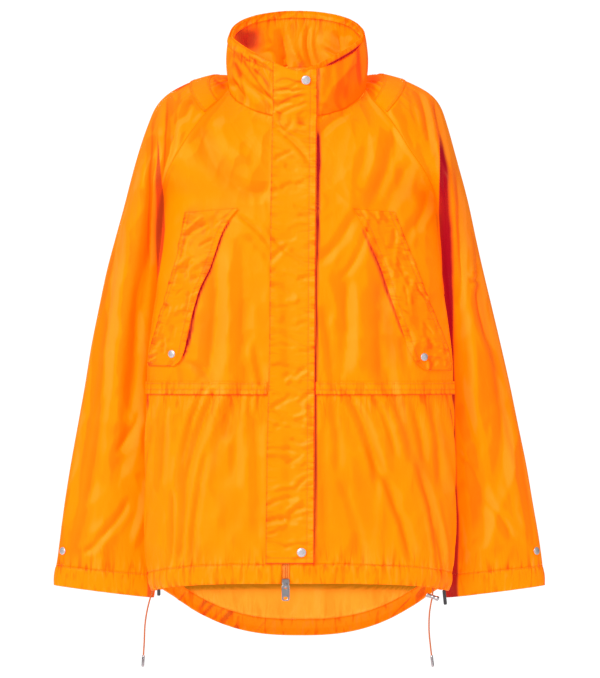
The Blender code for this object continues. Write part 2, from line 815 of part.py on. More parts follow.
def collar_turns():
    """Plan angles from the zip's right edge, round the back, to its left edge."""
    first = neck_turn(Vector((ZIP_X + ZIP_GAP, -0.1, 0)))
    last = neck_turn(Vector((ZIP_X - ZIP_GAP, -0.1, 0))) + 2 * math.pi
    return [blend(first, last, t) for t in spread(COLLAR_COLUMNS)]


def make_collar(nylon):
    core = Vector((NECK_CENTRE.x, NECK_CENTRE.y, 0.03))
    turns = collar_turns()
    rows = [[collar_point(turn, height) for turn in turns] for height in spread(4)]
    cut("collar_outer", rows, CLOTH, nylon, core)
    below = (0, 0.3, 0.6, RIM_CASING)
    rows = [[collar_point(turn, height, outer=False) for turn in turns] for height in below]
    cut("collar_inner", rows, CLOTH, nylon, core)
    rim = (RIM_CASING, (RIM_CASING + 1) / 2, 1)
    rows = [[collar_point(turn, height, outer=False) for turn in turns] for height in rim]
    cut("collar_rim", rows, CASING, nylon, core)


def flap_lift(share):
    """How far the storm flap's inner face stands off the front, from its sewn edge to its free edge."""
    return FLAP_LIFT + FLAP_RISE * ramp((share - 0.3) / 0.7)


def make_storm_flap(nylon):
    rows = []
    columns = spread(4)
    for height in (0.995, 0.75, 0.5, 0.25, 0.04):
        row = []
        for share in columns:
            edges = FLAP_EDGES.at(0.02)
            point = collar_front_at(blend(edges.left_x, edges.right_x, share), height)
            row.append(point + Vector((0, -1, 0)) * (DOUBLED + flap_lift(share) + FLAP_OVER_COLLAR))
        rows.append(row)
    for level in list(range(1, UNDERARM)) + list(range(UNDERARM, CASING_TOP, 2)) + [CASING_TOP - 0.02]:
        row = []
        for share in columns:
            edges = FLAP_EDGES.at(CHEST.at(level).front_z if level < UNDERARM else flap_z(level))
            x = blend(edges.left_x, edges.right_x, share)
            point = body_point(FRONT, level, middle_angle(FRONT, level, x), 1.0)
            point.x = x
            row.append(point + Vector((0, -1, 0)) * (DOUBLED + flap_lift(share)))
        rows.append(row)
    cut("storm_flap", rows, DOUBLED, nylon)


def flap_z(level):
    if level <= WAIST:
        return blend(UNDERARM_Z, WAIST_Z, (level - UNDERARM) / (WAIST - UNDERARM))
    return blend(WAIST_Z, FRONT_HEM_Z + HEM_CASING, (level - WAIST) / (CASING_TOP - WAIST))


def make_pocket_flaps(nylon):
    for side in (LEFT, RIGHT):
        table = POCKET_FLAP[side]
        rows = []
        for line in table.rows:
            edges = table.at(line[0])
            row = []
            for share in spread(4):
                x = blend(edges.sewn_x, edges.free_x, share)
                z = blend(edges.sewn_z, edges.free_z, share)
                point, out = front_at(x, z)
                lift = DOUBLED + POCKET_LIFT + POCKET_RISE * share * share
                row.append(point + out * lift)
            rows.append(row)
        cut(f"pocket_flap_{side}", rows, DOUBLED, nylon)


def make_waist_welts(nylon):
    for side in (LEFT, RIGHT):
        rows = []
        for z, lift in WAIST_WELT.rows:
            half = TORSO.at(z).half_width
            low = section_angle(SIGN[side] * WELT_SIDE, 3.0)
            high = section_angle(WELT_END_X[side] / half, 3.0)
            row = []
            for share in spread(WELT_COLUMNS):
                across, along = section(blend(low, high, share), 3.0)
                point = torso_point(FRONT, across, along, z)
                row.append(point + torso_normal(point) * (DOUBLED + lift))
            rows.append(row)
        cut(f"waist_welt_{side}", rows, DOUBLED, nylon)


# ---------------------------------------------------------------- the zip

def make_zip_strip(name, half_width, hem_half_width, setback, hem_setback, thickness, material):
    """A strip down the middle of the zip: behind the collar and the fronts, and between the hem's ends."""
    rows = []
    for height in (0.98, 0.75, 0.5, 0.25, 0.05):
        row = []
        for side in (-1, 0, 1):
            point = collar_front_at(ZIP_X + side * half_width, height)
            inward = Vector((NECK_CENTRE.x - point.x, NECK_CENTRE.y - point.y, 0)).normalized()
            row.append(point + inward * (setback + TAPE_BEHIND_COLLAR))
        rows.append(row)
    narrow = CASING_TOP - 0.3
    fronts = list(range(1, UNDERARM)) + list(range(UNDERARM, CASING_TOP, 3))
    for level in fronts + [CASING_TOP - 0.7, narrow, CASING_TOP - 0.08, CASING_TOP + 0.06, HEM - 0.1]:
        half = hem_half_width if level >= narrow else half_width
        back = hem_setback if level > CASING_TOP else setback
        if level < TAPE_NECK_LEVEL:
            back += TAPE_BEHIND_NECK
        row = []
        for side in (-1, 0, 1):
            angle = middle_angle(FRONT, level, ZIP_X + side * half)
            row.append(body_point(FRONT, level, angle, 1.0) + Vector((0, back, 0)))
        rows.append(row)
    cut(name, rows, thickness, material)


def rounded_outline(half_x, top, bottom, radius, steps):
    """Corners of an upright rectangle with round corners, anticlockwise."""
    points = []
    corners = ((half_x, bottom, -90), (half_x, top, 0), (-half_x, top, 90), (-half_x, bottom, 180))
    for x, z, start in corners:
        cx = x - math.copysign(radius, x)
        cz = z - radius if z == top else z + radius
        for i in range(steps + 1):
            angle = math.radians(start + 90 * i / steps)
            points.append((cx + radius * math.cos(angle), cz + radius * math.sin(angle)))
    return points


def plate(name, outlines, thickness, material, centre):
    """An upright plate with holes: the first outline is its edge, the others are its holes."""
    bm = bmesh.new()
    edges = []
    for outline in outlines:
        verts = [bm.verts.new((x, -thickness / 2, z)) for x, z in outline]
        edges += [bm.edges.new((a, b)) for a, b in zip(verts, verts[1:] + verts[:1])]
    filled = bmesh.ops.triangle_fill(bm, use_beauty=True, use_dissolve=False, edges=edges)
    faces = [item for item in filled["geom"] if isinstance(item, bmesh.types.BMFace)]
    extruded = bmesh.ops.extrude_face_region(bm, geom=faces)
    moved = [item for item in extruded["geom"] if isinstance(item, bmesh.types.BMVert)]
    bmesh.ops.translate(bm, verts=moved, vec=(0, thickness, 0))
    obj = place(name, mesh_from(bm, name), material)
    obj.location = centre
    return obj


def make_zip(tape, metal):
    step = CLEAR + TOOTH_DEPTH
    tape_end = ZIP_GAP - CASING_GAP
    make_zip_strip("zip_tape", TAPE_HALF, tape_end, TAPE_BEHIND, TAPE_AT_HEM, CLOTH, tape)
    behind, at_hem = TAPE_BEHIND - step, TAPE_AT_HEM - step
    make_zip_strip("zip_chain", CHAIN_HALF, CHAIN_HALF, behind, at_hem, TOOTH_DEPTH, tape)
    make_slider(metal)
    top = 0.0013
    edge = rounded_outline(PULL_WIDTH / 2, top, top - PULL_LENGTH, 0.0026, 4)
    upper = rounded_outline(0.0022, -0.0010, -0.0046, 0.0014, 3)
    lower = rounded_outline(0.0029, top - PULL_LENGTH + 0.0056, top - PULL_LENGTH + 0.0018, 0.0016, 3)
    plate("zip_pull", (edge, upper, lower), PULL_THICKNESS, metal, PULL_AXIS)


def make_slider(metal):
    """The slider's body, which narrows to the bottom, joined to the round bail that holds the pull."""
    back = PULL_AXIS.y + 0.0072
    front = PULL_AXIS.y + 0.0022
    outline = ((-0.0034, -0.0026), (0.0034, -0.0026), (0.0052, 0.0040), (0.0052, 0.0092), (-0.0052, 0.0092),
               (-0.0052, 0.0040))
    bm = bmesh.new()
    verts = [bm.verts.new((ZIP_X + x, front, PULL_AXIS.z + z)) for x, z in outline]
    face = bm.faces.new(verts)
    moved = bmesh.ops.extrude_face_region(bm, geom=[face])["geom"]
    far = [item for item in moved if isinstance(item, bmesh.types.BMVert)]
    bmesh.ops.translate(bm, verts=far, vec=(0, back - front, 0))
    bmesh.ops.recalc_face_normals(bm, faces=bm.faces[:])
    bmesh.ops.bevel(bm, geom=bm.edges[:], offset=0.0008, segments=1, affect="EDGES")
    body = place("zip_slider", mesh_from(bm, "zip_slider"), metal)
    bail = place("bail", ring_mesh("bail", BAIL_INNER, BAIL_OUTER, BAIL_WIDTH, 16), metal)
    bail.location = PULL_AXIS
    bail.hide_render = True
    bail.display_type = "WIRE"
    join = body.modifiers.new("bail", "BOOLEAN")
    join.operation = "UNION"
    join.object = bail


def ring_mesh(name, inner, outer, width, sides):
    """A ring about the X axis."""
    bm = bmesh.new()
    loops = []
    for radius, x in ((inner, -width / 2), (outer, -width / 2), (outer, width / 2), (inner, width / 2)):
        loop = []
        for i in range(sides):
            angle = 2 * math.pi * (i + 0.5) / sides
            loop.append(bm.verts.new((x, radius * math.cos(angle), radius * math.sin(angle))))
        loops.append(loop)
    for a, b in zip(loops, loops[1:] + loops[:1]):
        for i in range(sides):
            j = (i + 1) % sides
            bm.faces.new((a[i], a[j], b[j], b[i]))
    return mesh_from(bm, name)


# ---------------------------------------------------------------- snaps, cords and loops

def turned(name, profile, sides, centre, axis, material):
    """A solid turned from a profile of radius and height, standing on a place along an axis."""
    bm = bmesh.new()
    loops = []
    for radius, height in profile:
        if radius == 0:
            loops.append([bm.verts.new((0, 0, height))])
        else:
            angles = [2 * math.pi * i / sides for i in range(sides)]
            loops.append([bm.verts.new((radius * math.cos(a), radius * math.sin(a), height)) for a in angles])
    for low, high in zip(loops, loops[1:]):
        for i in range(sides):
            j = (i + 1) % sides
            corners = [low[i % len(low)], low[j % len(low)], high[j % len(high)], high[i % len(high)]]
            bm.faces.new(list(dict.fromkeys(corners)))
    obj = place(name, mesh_from(bm, name), material)
    obj.location = centre
    obj.rotation_euler = axis.to_track_quat("Z", "Y").to_euler()
    return obj


def make_snap(name, centre, out, radius, metal):
    profile = (
        (0, 0),
        (radius * 0.9, 0),
        (radius, 0.0007),
        (radius * 0.94, 0.0016),
        (radius * 0.80, 0.0020),
        (radius * 0.55, 0.0017),
        (0, 0.0021),
    )
    turned(name, profile, 14, centre, out, metal)


def make_snaps(metal):
    point = collar_front_at(COLLAR_SNAP_X, COLLAR_SNAP_HEIGHT)
    out = Vector((0, -1, -0.22)).normalized()
    lift = DOUBLED + SNAP_LIFT + COLLAR_SNAP_LIFT
    make_snap("snap_collar", point + out * lift, out, SNAP_RADIUS, metal)
    names = ("snap_hem", "snap_pocket_left", "snap_pocket_right")
    for name, (_, x, z, radius, cloth_lift) in zip(names, SNAPS.rows):
        point, out = front_at(x, z)
        make_snap(name, point + out * (DOUBLED + SNAP_LIFT + cloth_lift), out, radius, metal)
    for side in (LEFT, RIGHT):
        point = sleeve_point(side, CUFF_SNAP_STATION, CUFF_SNAP_AROUND)
        out = sleeve_normal(side, CUFF_SNAP_STATION, CUFF_SNAP_AROUND)
        make_snap(f"snap_cuff_{side}", point + out * CUFF_SNAP_LIFT, out, SMALL_SNAP_RADIUS, metal)


# Each free cord's route, from where it leaves the hem to its metal tip.
CORD_ROUTE = {
    LEFT: (
        (-0.2037, -0.0666, -0.7106),
        (-0.2052, -0.0663, -0.7160),
        (-0.2077, -0.0661, -0.7225),
        (-0.2118, -0.0658, -0.7392),
        (-0.2146, -0.0655, -0.7586),
        (-0.2156, -0.0652, -0.7808),
        (-0.2167, -0.0650, -0.8001),
    ),
    RIGHT: (
        (0.1830, -0.0918, -0.7059),
        (0.1828, -0.0912, -0.7125),
        (0.1822, -0.0907, -0.7190),
        (0.1806, -0.0904, -0.7265),
        (0.1784, -0.0900, -0.7418),
        (0.1779, -0.0896, -0.7639),
        (0.1799, -0.0892, -0.7860),
        (0.1813, -0.0890, -0.7984),
    ),
}


def smooth_route(points, steps):
    """Points along a smooth curve through the route's own points."""
    corners = [Vector(p) for p in points]
    ends = [corners[0] * 2 - corners[1]] + corners + [corners[-1] * 2 - corners[-2]]
    line = []
    for a, b, c, d in zip(ends, ends[1:], ends[2:], ends[3:]):
        for i in range(steps):
            t = i / steps
            line.append(
                0.5 * (2 * b + (c - a) * t + (2 * a - 5 * b + 4 * c - d) * t * t
                       + (3 * b - a - 3 * c + d) * t * t * t)
            )
    line.append(corners[-1])
    return line


def make_cords(cord, metal):
    for side in (LEFT, RIGHT):
        line = smooth_route(CORD_ROUTE[side], 2)
        curve = bpy.data.curves.new(f"cord_{side}", "CURVE")
        curve.dimensions = "3D"
        curve.bevel_depth = CORD_RADIUS
        curve.bevel_resolution = 2
        curve.use_fill_caps = True
        spline = curve.splines.new("POLY")
        spline.points.add(len(line) - 1)
        for target, point in zip(spline.points, line):
            target.co = (*point, 1)
        curve.materials.append(cord)
        obj = bpy.data.objects.new(f"cord_{side}", curve)
        bpy.context.scene.collection.objects.link(obj)
        down = (line[-1] - line[-2]).normalized()
        profile = ((0, 0), (TIP_RADIUS * 0.8, 0), (TIP_RADIUS, 0.0012), (TIP_RADIUS, TIP_LENGTH - 0.0012),
                   (TIP_RADIUS * 0.7, TIP_LENGTH), (0, TIP_LENGTH))
        turned(f"cord_tip_{side}", profile, 8, line[-1] + down * 0.0003, down, metal)


def make_cord_lock(metal):
    """A metal barrel across the right cord, with a hole that the cord runs through."""
    profile = ((0, 0), (0.0026, 0), (0.0034, 0.0010), (0.0034, 0.0035), (0.0029, 0.0045), (0.0029, 0.0145),
               (0.0034, 0.0155), (0.0034, 0.0180), (0.0026, 0.0190), (0, 0.0190))
    axis = Vector((1, 0, -0.36)).normalized()
    middle = Vector((0.1824, -0.0908, -0.7178))
    barrel = turned("cord_lock_right", profile, 10, middle - axis * 0.0095, axis, metal)
    hole = place("lock_hole", ring_hole("lock_hole", CORD_RADIUS + LOCK_ROOM, 0.02, 10), metal)
    hole.location = middle
    hole.hide_render = True
    hole.display_type = "WIRE"
    drill = barrel.modifiers.new("hole", "BOOLEAN")
    drill.operation = "DIFFERENCE"
    drill.object = hole


def ring_hole(name, radius, length, sides):
    """An upright round cutter."""
    bm = bmesh.new()
    bmesh.ops.create_cone(bm, cap_ends=True, segments=sides, radius1=radius, radius2=radius, depth=length)
    return mesh_from(bm, name)


# The black elastic loops at the hem's corners: the top's place, the length and the lean.
LOOPS = {LEFT: ((-0.1950, -0.0801, -0.7083), 0.0088, 0.00), RIGHT: ((0.1990, -0.0743, -0.7096), 0.0204, 0.10)}


def make_loops(rubber):
    for side, (top, length, lean) in LOOPS.items():
        edge = rounded_outline(0.0023, 0.0, -length, 0.0014, 2)
        loop = plate(f"elastic_loop_{side}", (edge,), 0.0024, rubber, Vector(top))
        loop.rotation_euler = (0, -lean, 0)


# ---------------------------------------------------------------- the whole jacket

def main():
    for obj in list(bpy.data.objects):
        bpy.data.objects.remove(obj, do_unlink=True)
    nylon = finish("orange_nylon", (1.0, 0.30, 0.01), 0.38)
    tape = finish("zip_tape", (0.78, 0.30, 0.06), 0.6)
    metal = finish("nickel", (0.72, 0.70, 0.74), 0.25, 1.0)
    cord = finish("drawcord", (0.70, 0.20, 0.04), 0.7)
    rubber = finish("black_rubber", (0.02, 0.02, 0.025), 0.5)
    make_body(nylon)
    make_sleeves(nylon)
    make_straps(nylon)
    make_collar(nylon)
    make_storm_flap(nylon)
    make_pocket_flaps(nylon)
    make_waist_welts(nylon)
    make_zip(tape, metal)
    sew()
    make_snaps(metal)
    make_cords(cord, metal)
    make_cord_lock(metal)
    make_loops(rubber)


if __name__ == "__main__":
    main()
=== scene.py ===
"""Looks of the rain jacket: studio, cords, cloth with its folds and sewing, zip and snaps.

Metres, +Z up, the front faces -Y, and the origin is the middle of the neck's base. Every cloth piece
is a fine grid on the same form as its solid, and folds push it in and out. Left is -X.
"""

import json
import logging
import math
from dataclasses import dataclass
from enum import Enum
from functools import cache, partial
from types import SimpleNamespace
from typing import Callable, Sequence

import bmesh
import bpy
import numpy as np
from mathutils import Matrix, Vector

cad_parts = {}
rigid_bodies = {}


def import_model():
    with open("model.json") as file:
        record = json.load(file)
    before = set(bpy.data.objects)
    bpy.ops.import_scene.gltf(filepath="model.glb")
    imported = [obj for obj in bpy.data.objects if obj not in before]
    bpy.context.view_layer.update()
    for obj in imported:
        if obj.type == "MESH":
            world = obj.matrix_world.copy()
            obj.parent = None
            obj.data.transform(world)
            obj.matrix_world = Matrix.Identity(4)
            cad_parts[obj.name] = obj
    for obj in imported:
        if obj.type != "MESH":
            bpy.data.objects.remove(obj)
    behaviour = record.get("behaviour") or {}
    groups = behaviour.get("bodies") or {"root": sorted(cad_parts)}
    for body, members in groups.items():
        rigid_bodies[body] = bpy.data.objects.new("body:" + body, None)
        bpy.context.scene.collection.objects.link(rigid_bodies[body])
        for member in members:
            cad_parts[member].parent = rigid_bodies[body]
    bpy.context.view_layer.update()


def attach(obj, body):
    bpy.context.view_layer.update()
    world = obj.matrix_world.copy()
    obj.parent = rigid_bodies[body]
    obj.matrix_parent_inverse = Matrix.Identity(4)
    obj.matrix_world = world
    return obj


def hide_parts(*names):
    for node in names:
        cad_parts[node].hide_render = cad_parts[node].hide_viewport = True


logging.basicConfig(level=logging.INFO, format="%(message)s")
log = logging.getLogger("rain_jacket")

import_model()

BODY, PULL_BODY = "jacket", "zip_pull"

# ---------------------------------------------------------------- sizes of the solids, in metres

CLOTH = 0.0012
DOUBLED = 0.0018
CLEAR = 0.0004
NECK_CENTRE = Vector((-0.004, -0.014, 0.0))
NECK_HALF_WIDTH, NECK_FRONT, NECK_BACK, NECK_ROUND = 0.0955, 0.088, 0.082, 2.1
RIM_HALF_WIDTH, RIM_FRONT, RIM_BACK, RIM_MIDDLE_Z, RIM_CASING = 0.0950, 0.104, 0.090, 0.068, 0.86
COLLAR_SWELL, LAYER_GAP, ZIP_ROOM, ZIP_ROOM_WIDTH, CRUMPLE = 0.004, 0.0015, 0.0056, 0.022, 0.003
UNDERARM_Z, WAIST_Z, FRONT_HEM_Z, FRONT_HEM_DIP = -0.180, -0.437, -0.698, 0.015
BACK_HEM_Z, BACK_HEM_RISE, HEM_CASING, TAIL_CASING = -0.785, 0.072, 0.027, 0.023
ZIP_X, ZIP_GAP, TAPE_HALF = -0.0196, 0.006, 0.013
TAPE_BEHIND, TAPE_AT_HEM = 0.0019, 0.0022
FLAP_LIFT, FLAP_RISE, FLAP_OVER_COLLAR = 0.0006, 0.0016, 0.0008
POCKET_LIFT, POCKET_RISE, STRAP_TOP, SNAP_LIFT = 0.0009, 0.0022, 0.0016, 0.0003
TUCK, TUCK_START_Y, TUCK_FADE = 0.10, -0.075, 0.060
SNAP_RADIUS, SMALL_SNAP_RADIUS = 0.0063, 0.0054
CORD_RADIUS, TIP_RADIUS, TIP_LENGTH = 0.00105, 0.0019, 0.016
PULL_AXIS = Vector((ZIP_X, -0.1361, -0.7000))
PULL_WIDTH, PULL_LENGTH, PULL_THICKNESS = 0.0110, 0.0222, 0.0016
WAVES, WAVE_HEIGHT = 8, 0.0022
FRONT_ROUND, BACK_ROUND = 3.0, 2.4
CORE = Vector((0, 0, -0.35))

# ---------------------------------------------------------------- sizes of the cloth laid over them, in metres

SHELL_WALL, FLAP_WALL, HEM_WALL, STRAP_WALL, WELT_WALL, RIM_WALL = 0.0009, 0.0016, 0.0020, 0.0011, 0.0014, 0.0022
SEAM_IN = 0.0010  # from a seam to its row of stitches
RIM_BAND = 0.0125  # the casing along the rim's left front
BEHIND_COLLAR, BEHIND_NECK, TEETH_APART, TEETH_LIFT = 0.0020, 0.0012, 0.0013, CLEAR + 0.0007
NEUTRAL = 0.3  # the stored shade of cloth that is neither lit nor shaded

# ---------------------------------------------------------------- rows of the solids' grids

UNDERARM, WAIST, CASING_TOP, HEM = 8, 14, 21, 22
CUFF_SEAM, CUFF_END = 19, 20


class Side(Enum):
    """The two sides, as seen from the front."""

    LEFT = "left"
    RIGHT = "right"

    @property
    def sign(self) -> float:
        """The side's direction along X."""
        return -1.0 if self is Side.LEFT else 1.0


class Face(Enum):
    """The two faces of the body."""

    FRONT = "front"
    BACK = "back"


class Edge(Enum):
    """A piece's edges: the axis of its grid that runs in from each, and whether it is the axis's far end."""

    TOP = (0, False)
    BOTTOM = (0, True)
    FIRST = (1, False)
    LAST = (1, True)


TOP, BOTTOM, FIRST, LAST = Edge


class Crease(Enum):
    """The cross-sections that a fold can have."""

    SOFT = "soft"
    SHARP = "sharp"
    TUCK = "tuck"


class Table:
    """Rows of named columns. The first column is the key, and a smooth curve joins the rows."""

    def __init__(self, columns: str, *rows: tuple) -> None:
        """Keep the rows.

        Args:
            columns: The columns' names, with spaces between them.
            rows: One tuple for each row.
        """
        self.columns = columns.split()
        self.rows = rows

    def slope(self, i: int, column: int) -> float:
        """The curve's slope at row i of a column."""
        before, after = self.rows[max(i - 1, 0)], self.rows[min(i + 1, len(self.rows) - 1)]
        return (after[column] - before[column]) / (after[0] - before[0])

    @cache
    def at(self, key: float) -> SimpleNamespace:
        """Read the curve.

        Args:
            key: The place along the first column.

        Returns:
            One value for each column's name.
        """
        down = self.rows[-1][0] < self.rows[0][0]
        i = 0
        while i < len(self.rows) - 2 and (key < self.rows[i + 1][0] if down else key > self.rows[i + 1][0]):
            i += 1
        low, high = self.rows[i], self.rows[i + 1]
        span = high[0] - low[0]
        t = min(max((key - low[0]) / span, 0.0), 1.0)
        values = {}
        for column, name in enumerate(self.columns):
            rise = high[column] - low[column]
            start = self.slope(i, column) * span
            end = self.slope(i + 1, column) * span
            values[name] = low[column] + rise * t + t * (1 - t) * ((start - rise) * (1 - t) + (rise - end) * t)
        return SimpleNamespace(**values)


RAGLAN = Table(
    "level left_x right_x front_y front_z back_x back_y back_z",
    (0, 0.0985, 0.0895, -0.024, -0.0150, 0.080, 0.040, 0.008),
    (1, 0.1120, 0.1010, -0.052, -0.0310, 0.094, 0.058, 0.000),
    (2, 0.1250, 0.1130, -0.072, -0.0450, 0.108, 0.073, -0.012),
    (3, 0.1373, 0.1250, -0.086, -0.0600, 0.123, 0.085, -0.028),
    (4, 0.1510, 0.1375, -0.096, -0.0785, 0.138, 0.093, -0.048),
    (5, 0.1660, 0.1520, -0.101, -0.1020, 0.153, 0.097, -0.073),
    (6, 0.1805, 0.1690, -0.096, -0.1265, 0.170, 0.092, -0.104),
    (7, 0.1895, 0.1830, -0.068, -0.1510, 0.184, 0.066, -0.140),
    (8, 0.1930, 0.1930, 0.000, -0.1800, 0.1930, 0.000, -0.180),
)

CHEST = Table(
    "level front_y front_z back_y back_z front_round back_round",
    (0, -0.1020, -0.0590, 0.068, 0.022, 2.1, 2.1), (1, -0.1060, -0.0730, 0.076, 0.010, 2.2, 2.1),
    (2, -0.1095, -0.0870, 0.084, -0.004, 2.3, 2.2), (3, -0.1130, -0.1010, 0.091, -0.022, 2.4, 2.2),
    (4, -0.1160, -0.1150, 0.097, -0.044, 2.5, 2.3), (5, -0.1185, -0.1300, 0.102, -0.070, 2.6, 2.3),
    (6, -0.1205, -0.1460, 0.106, -0.101, 2.7, 2.4), (7, -0.1220, -0.1630, 0.109, -0.138, 2.85, 2.4),
    (8, -0.1230, -0.1800, 0.111, -0.180, 3.0, 2.4),
)

TORSO = Table(
    "z half_width front_y back_y",
    (-0.180, 0.1930, -0.1230, 0.111), (-0.240, 0.2038, -0.1255, 0.112), (-0.290, 0.2075, -0.1275, 0.111),
    (-0.335, 0.2142, -0.1285, 0.109), (-0.390, 0.2210, -0.1290, 0.107), (-0.440, 0.2221, -0.1285, 0.107),
    (-0.520, 0.2241, -0.1300, 0.110), (-0.600, 0.2257, -0.1310, 0.113), (-0.650, 0.2252, -0.1305, 0.114),
    (-0.690, 0.2200, -0.1290, 0.114), (-0.720, 0.2158, -0.1270, 0.113), (-0.790, 0.2116, -0.1270, 0.109),
)

SHOULDER = Table(
    "station left_x left_z right_x right_z depth",
    (0, 0.0990, 0.0000, 0.0912, 0.0000, 0.032), (1, 0.1210, 0.0035, 0.1130, 0.0045, 0.055),
    (2, 0.1430, -0.0005, 0.1370, 0.0005, 0.073), (3, 0.1650, -0.0085, 0.1600, -0.0075, 0.086),
    (4, 0.1860, -0.0205, 0.1830, -0.0205, 0.095), (5, 0.2015, -0.0375, 0.1970, -0.0375, 0.100),
    (6, 0.2125, -0.0630, 0.2065, -0.0640, 0.101), (7, 0.2230, -0.0935, 0.2150, -0.0945, 0.100),
    (8, 0.2350, -0.1340, 0.2260, -0.1370, 0.096),
)

ARM = Table(
    "station inner_x inner_z left_x right_x outer_z depth y",
    (8, 0.1930, -0.1800, 0.2350, 0.2260, -0.134, 0.096, 0.000),
    (9, 0.1915, -0.2050, 0.2457, 0.2366, -0.175, 0.091, 0.012),
    (10, 0.1893, -0.2400, 0.2576, 0.2457, -0.217, 0.085, 0.019),
    (11, 0.1902, -0.2850, 0.2709, 0.2569, -0.266, 0.079, 0.024),
    (12, 0.1966, -0.3350, 0.2821, 0.2695, -0.318, 0.073, 0.026),
    (13, 0.2027, -0.3900, 0.2933, 0.2828, -0.374, 0.066, 0.026),
    (14, 0.2036, -0.4450, 0.3024, 0.2954, -0.430, 0.059, 0.024),
    (15, 0.2050, -0.5000, 0.3122, 0.3066, -0.485, 0.052, 0.021),
    (16, 0.2062, -0.5550, 0.3220, 0.3178, -0.540, 0.046, 0.018),
    (17, 0.2070, -0.6100, 0.3304, 0.3269, -0.594, 0.040, 0.015),
    (18, 0.2062, -0.6550, 0.3360, 0.3346, -0.639, 0.036, 0.012),
    (19, 0.2045, -0.6920, 0.3416, 0.3402, -0.679, 0.032, 0.010),
    (20, 0.2040, -0.7246, 0.3444, 0.3437, -0.707, 0.030, 0.010),
)

SLEEVE_FOLDS = Table(
    "fold around drift first last width depth",
    (0, 0.17, 0.020, 5, 16, 0.030, -0.0050), (1, 0.27, -0.040, 6, 18, 0.035, 0.0050),
    (2, 0.36, 0.030, 8, 19, 0.030, -0.0045), (3, 0.62, -0.020, 7, 18, 0.035, -0.0050),
    (4, 0.74, 0.030, 6, 17, 0.035, 0.0050), (5, 0.85, 0.010, 9, 19, 0.030, -0.0045),
)

FLAP_EDGES = Table(
    "z left_x right_x",
    (0.020, -0.0377, 0.0236), (-0.060, -0.0385, 0.0230), (-0.172, -0.0405, 0.0219), (-0.378, -0.0425, 0.0205),
    (-0.509, -0.0456, 0.0197), (-0.672, -0.0473, 0.0189),
)

POCKET_FLAP = {
    Side.LEFT: Table(
        "row sewn_x sewn_z free_x free_z",
        (0, -0.1569, -0.1878, -0.0844, -0.1830), (1, -0.1597, -0.2015, -0.0975, -0.2000),
        (2, -0.1638, -0.2236, -0.1091, -0.2228), (3, -0.1686, -0.2470, -0.1165, -0.2447),
        (4, -0.1748, -0.2704, -0.1247, -0.2680), (5, -0.1835, -0.2993, -0.1376, -0.2968),
        (6, -0.1935, -0.3294, -0.1467, -0.3270), (7, -0.2020, -0.3585, -0.1535, -0.3585),
        (8, -0.2070, -0.3806, -0.1586, -0.3804), (9, -0.2085, -0.3916, -0.1638, -0.3928),
        (10, -0.2080, -0.3996, -0.1727, -0.3996),
    ),
    Side.RIGHT: Table(
        "row sewn_x sewn_z free_x free_z",
        (0, 0.1294, -0.1878, 0.0727, -0.1837), (1, 0.1377, -0.2084, 0.0877, -0.2084),
        (2, 0.1494, -0.2387, 0.1001, -0.2392), (3, 0.1611, -0.2676, 0.1117, -0.2666),
        (4, 0.1721, -0.2965, 0.1217, -0.2968), (5, 0.1845, -0.3254, 0.1309, -0.3263),
        (6, 0.1960, -0.3543, 0.1405, -0.3530), (7, 0.2030, -0.3750, 0.1478, -0.3749),
        (8, 0.2075, -0.3916, 0.1549, -0.3896), (9, 0.2085, -0.3999, 0.1618, -0.3989),
        (10, 0.2075, -0.4061, 0.1714, -0.4051),
    ),
}

CORD_ROUTE = {
    Side.LEFT: (
        (-0.2037, -0.0666, -0.7106), (-0.2052, -0.0663, -0.7160), (-0.2077, -0.0661, -0.7225),
        (-0.2118, -0.0658, -0.7392), (-0.2146, -0.0655, -0.7586), (-0.2156, -0.0652, -0.7808),
        (-0.2167, -0.0650, -0.8001),
    ),
    Side.RIGHT: (
        (0.1830, -0.0918, -0.7059), (0.1828, -0.0912, -0.7125), (0.1822, -0.0907, -0.7190),
        (0.1806, -0.0904, -0.7265), (0.1784, -0.0900, -0.7418), (0.1779, -0.0896, -0.7639),
        (0.1799, -0.0892, -0.7860), (0.1813, -0.0890, -0.7984),
    ),
}
LOCK_MIDDLE = Vector((0.1824, -0.0908, -0.7178))
LOCK_AXIS = Vector((1, 0, -0.36)).normalized()


# ---------------------------------------------------------------- the jacket's form

def blend(a: float, b: float, t: float) -> float:
    """A value between a and b; points and numbers alike."""
    return a + (b - a) * t


def ramp(t: float) -> float:
    """A smooth step from 0 to 1."""
    t = min(max(t, 0.0), 1.0)
    return t * t * (3 - 2 * t)


def smooth(t: np.ndarray) -> np.ndarray:
    """A smooth step from 0 to 1 over an array."""
    t = np.clip(t, 0.0, 1.0)
    return t * t * (3 - 2 * t)


def fractions(count: int) -> list[float]:
    """Even shares from 0 to 1."""
    return [i / count for i in range(count + 1)]


def steps(first: float, last: float, count: int) -> list[float]:
    """Even values from first to last."""
    return [blend(first, last, i / count) for i in range(count + 1)]


def section(angle: float, roundness: float) -> tuple[float, float]:
    """A point on a unit section: across and along for an angle from its middle.

    Args:
        angle: The angle round the section, 0 at its middle.
        roundness: The exponent of the section, 2 for an ellipse.

    Returns:
        The place across and the place along.
    """
    s, c = math.sin(angle), math.cos(angle)
    size = (abs(s) ** roundness + abs(c) ** roundness) ** (-1 / roundness)
    return s * size, c * size


def section_angle(across: float, roundness: float) -> float:
    """The angle at which a unit section reaches a distance across.

    Args:
        across: The place across, from -1 to 1.
        roundness: The exponent of the section, 2 for an ellipse.

    Returns:
        The angle.
    """
    share = min(abs(across), 1.0)
    along = max(1 - share ** roundness, 0.0) ** (1 / roundness)
    return math.copysign(math.atan2(share, along), across)


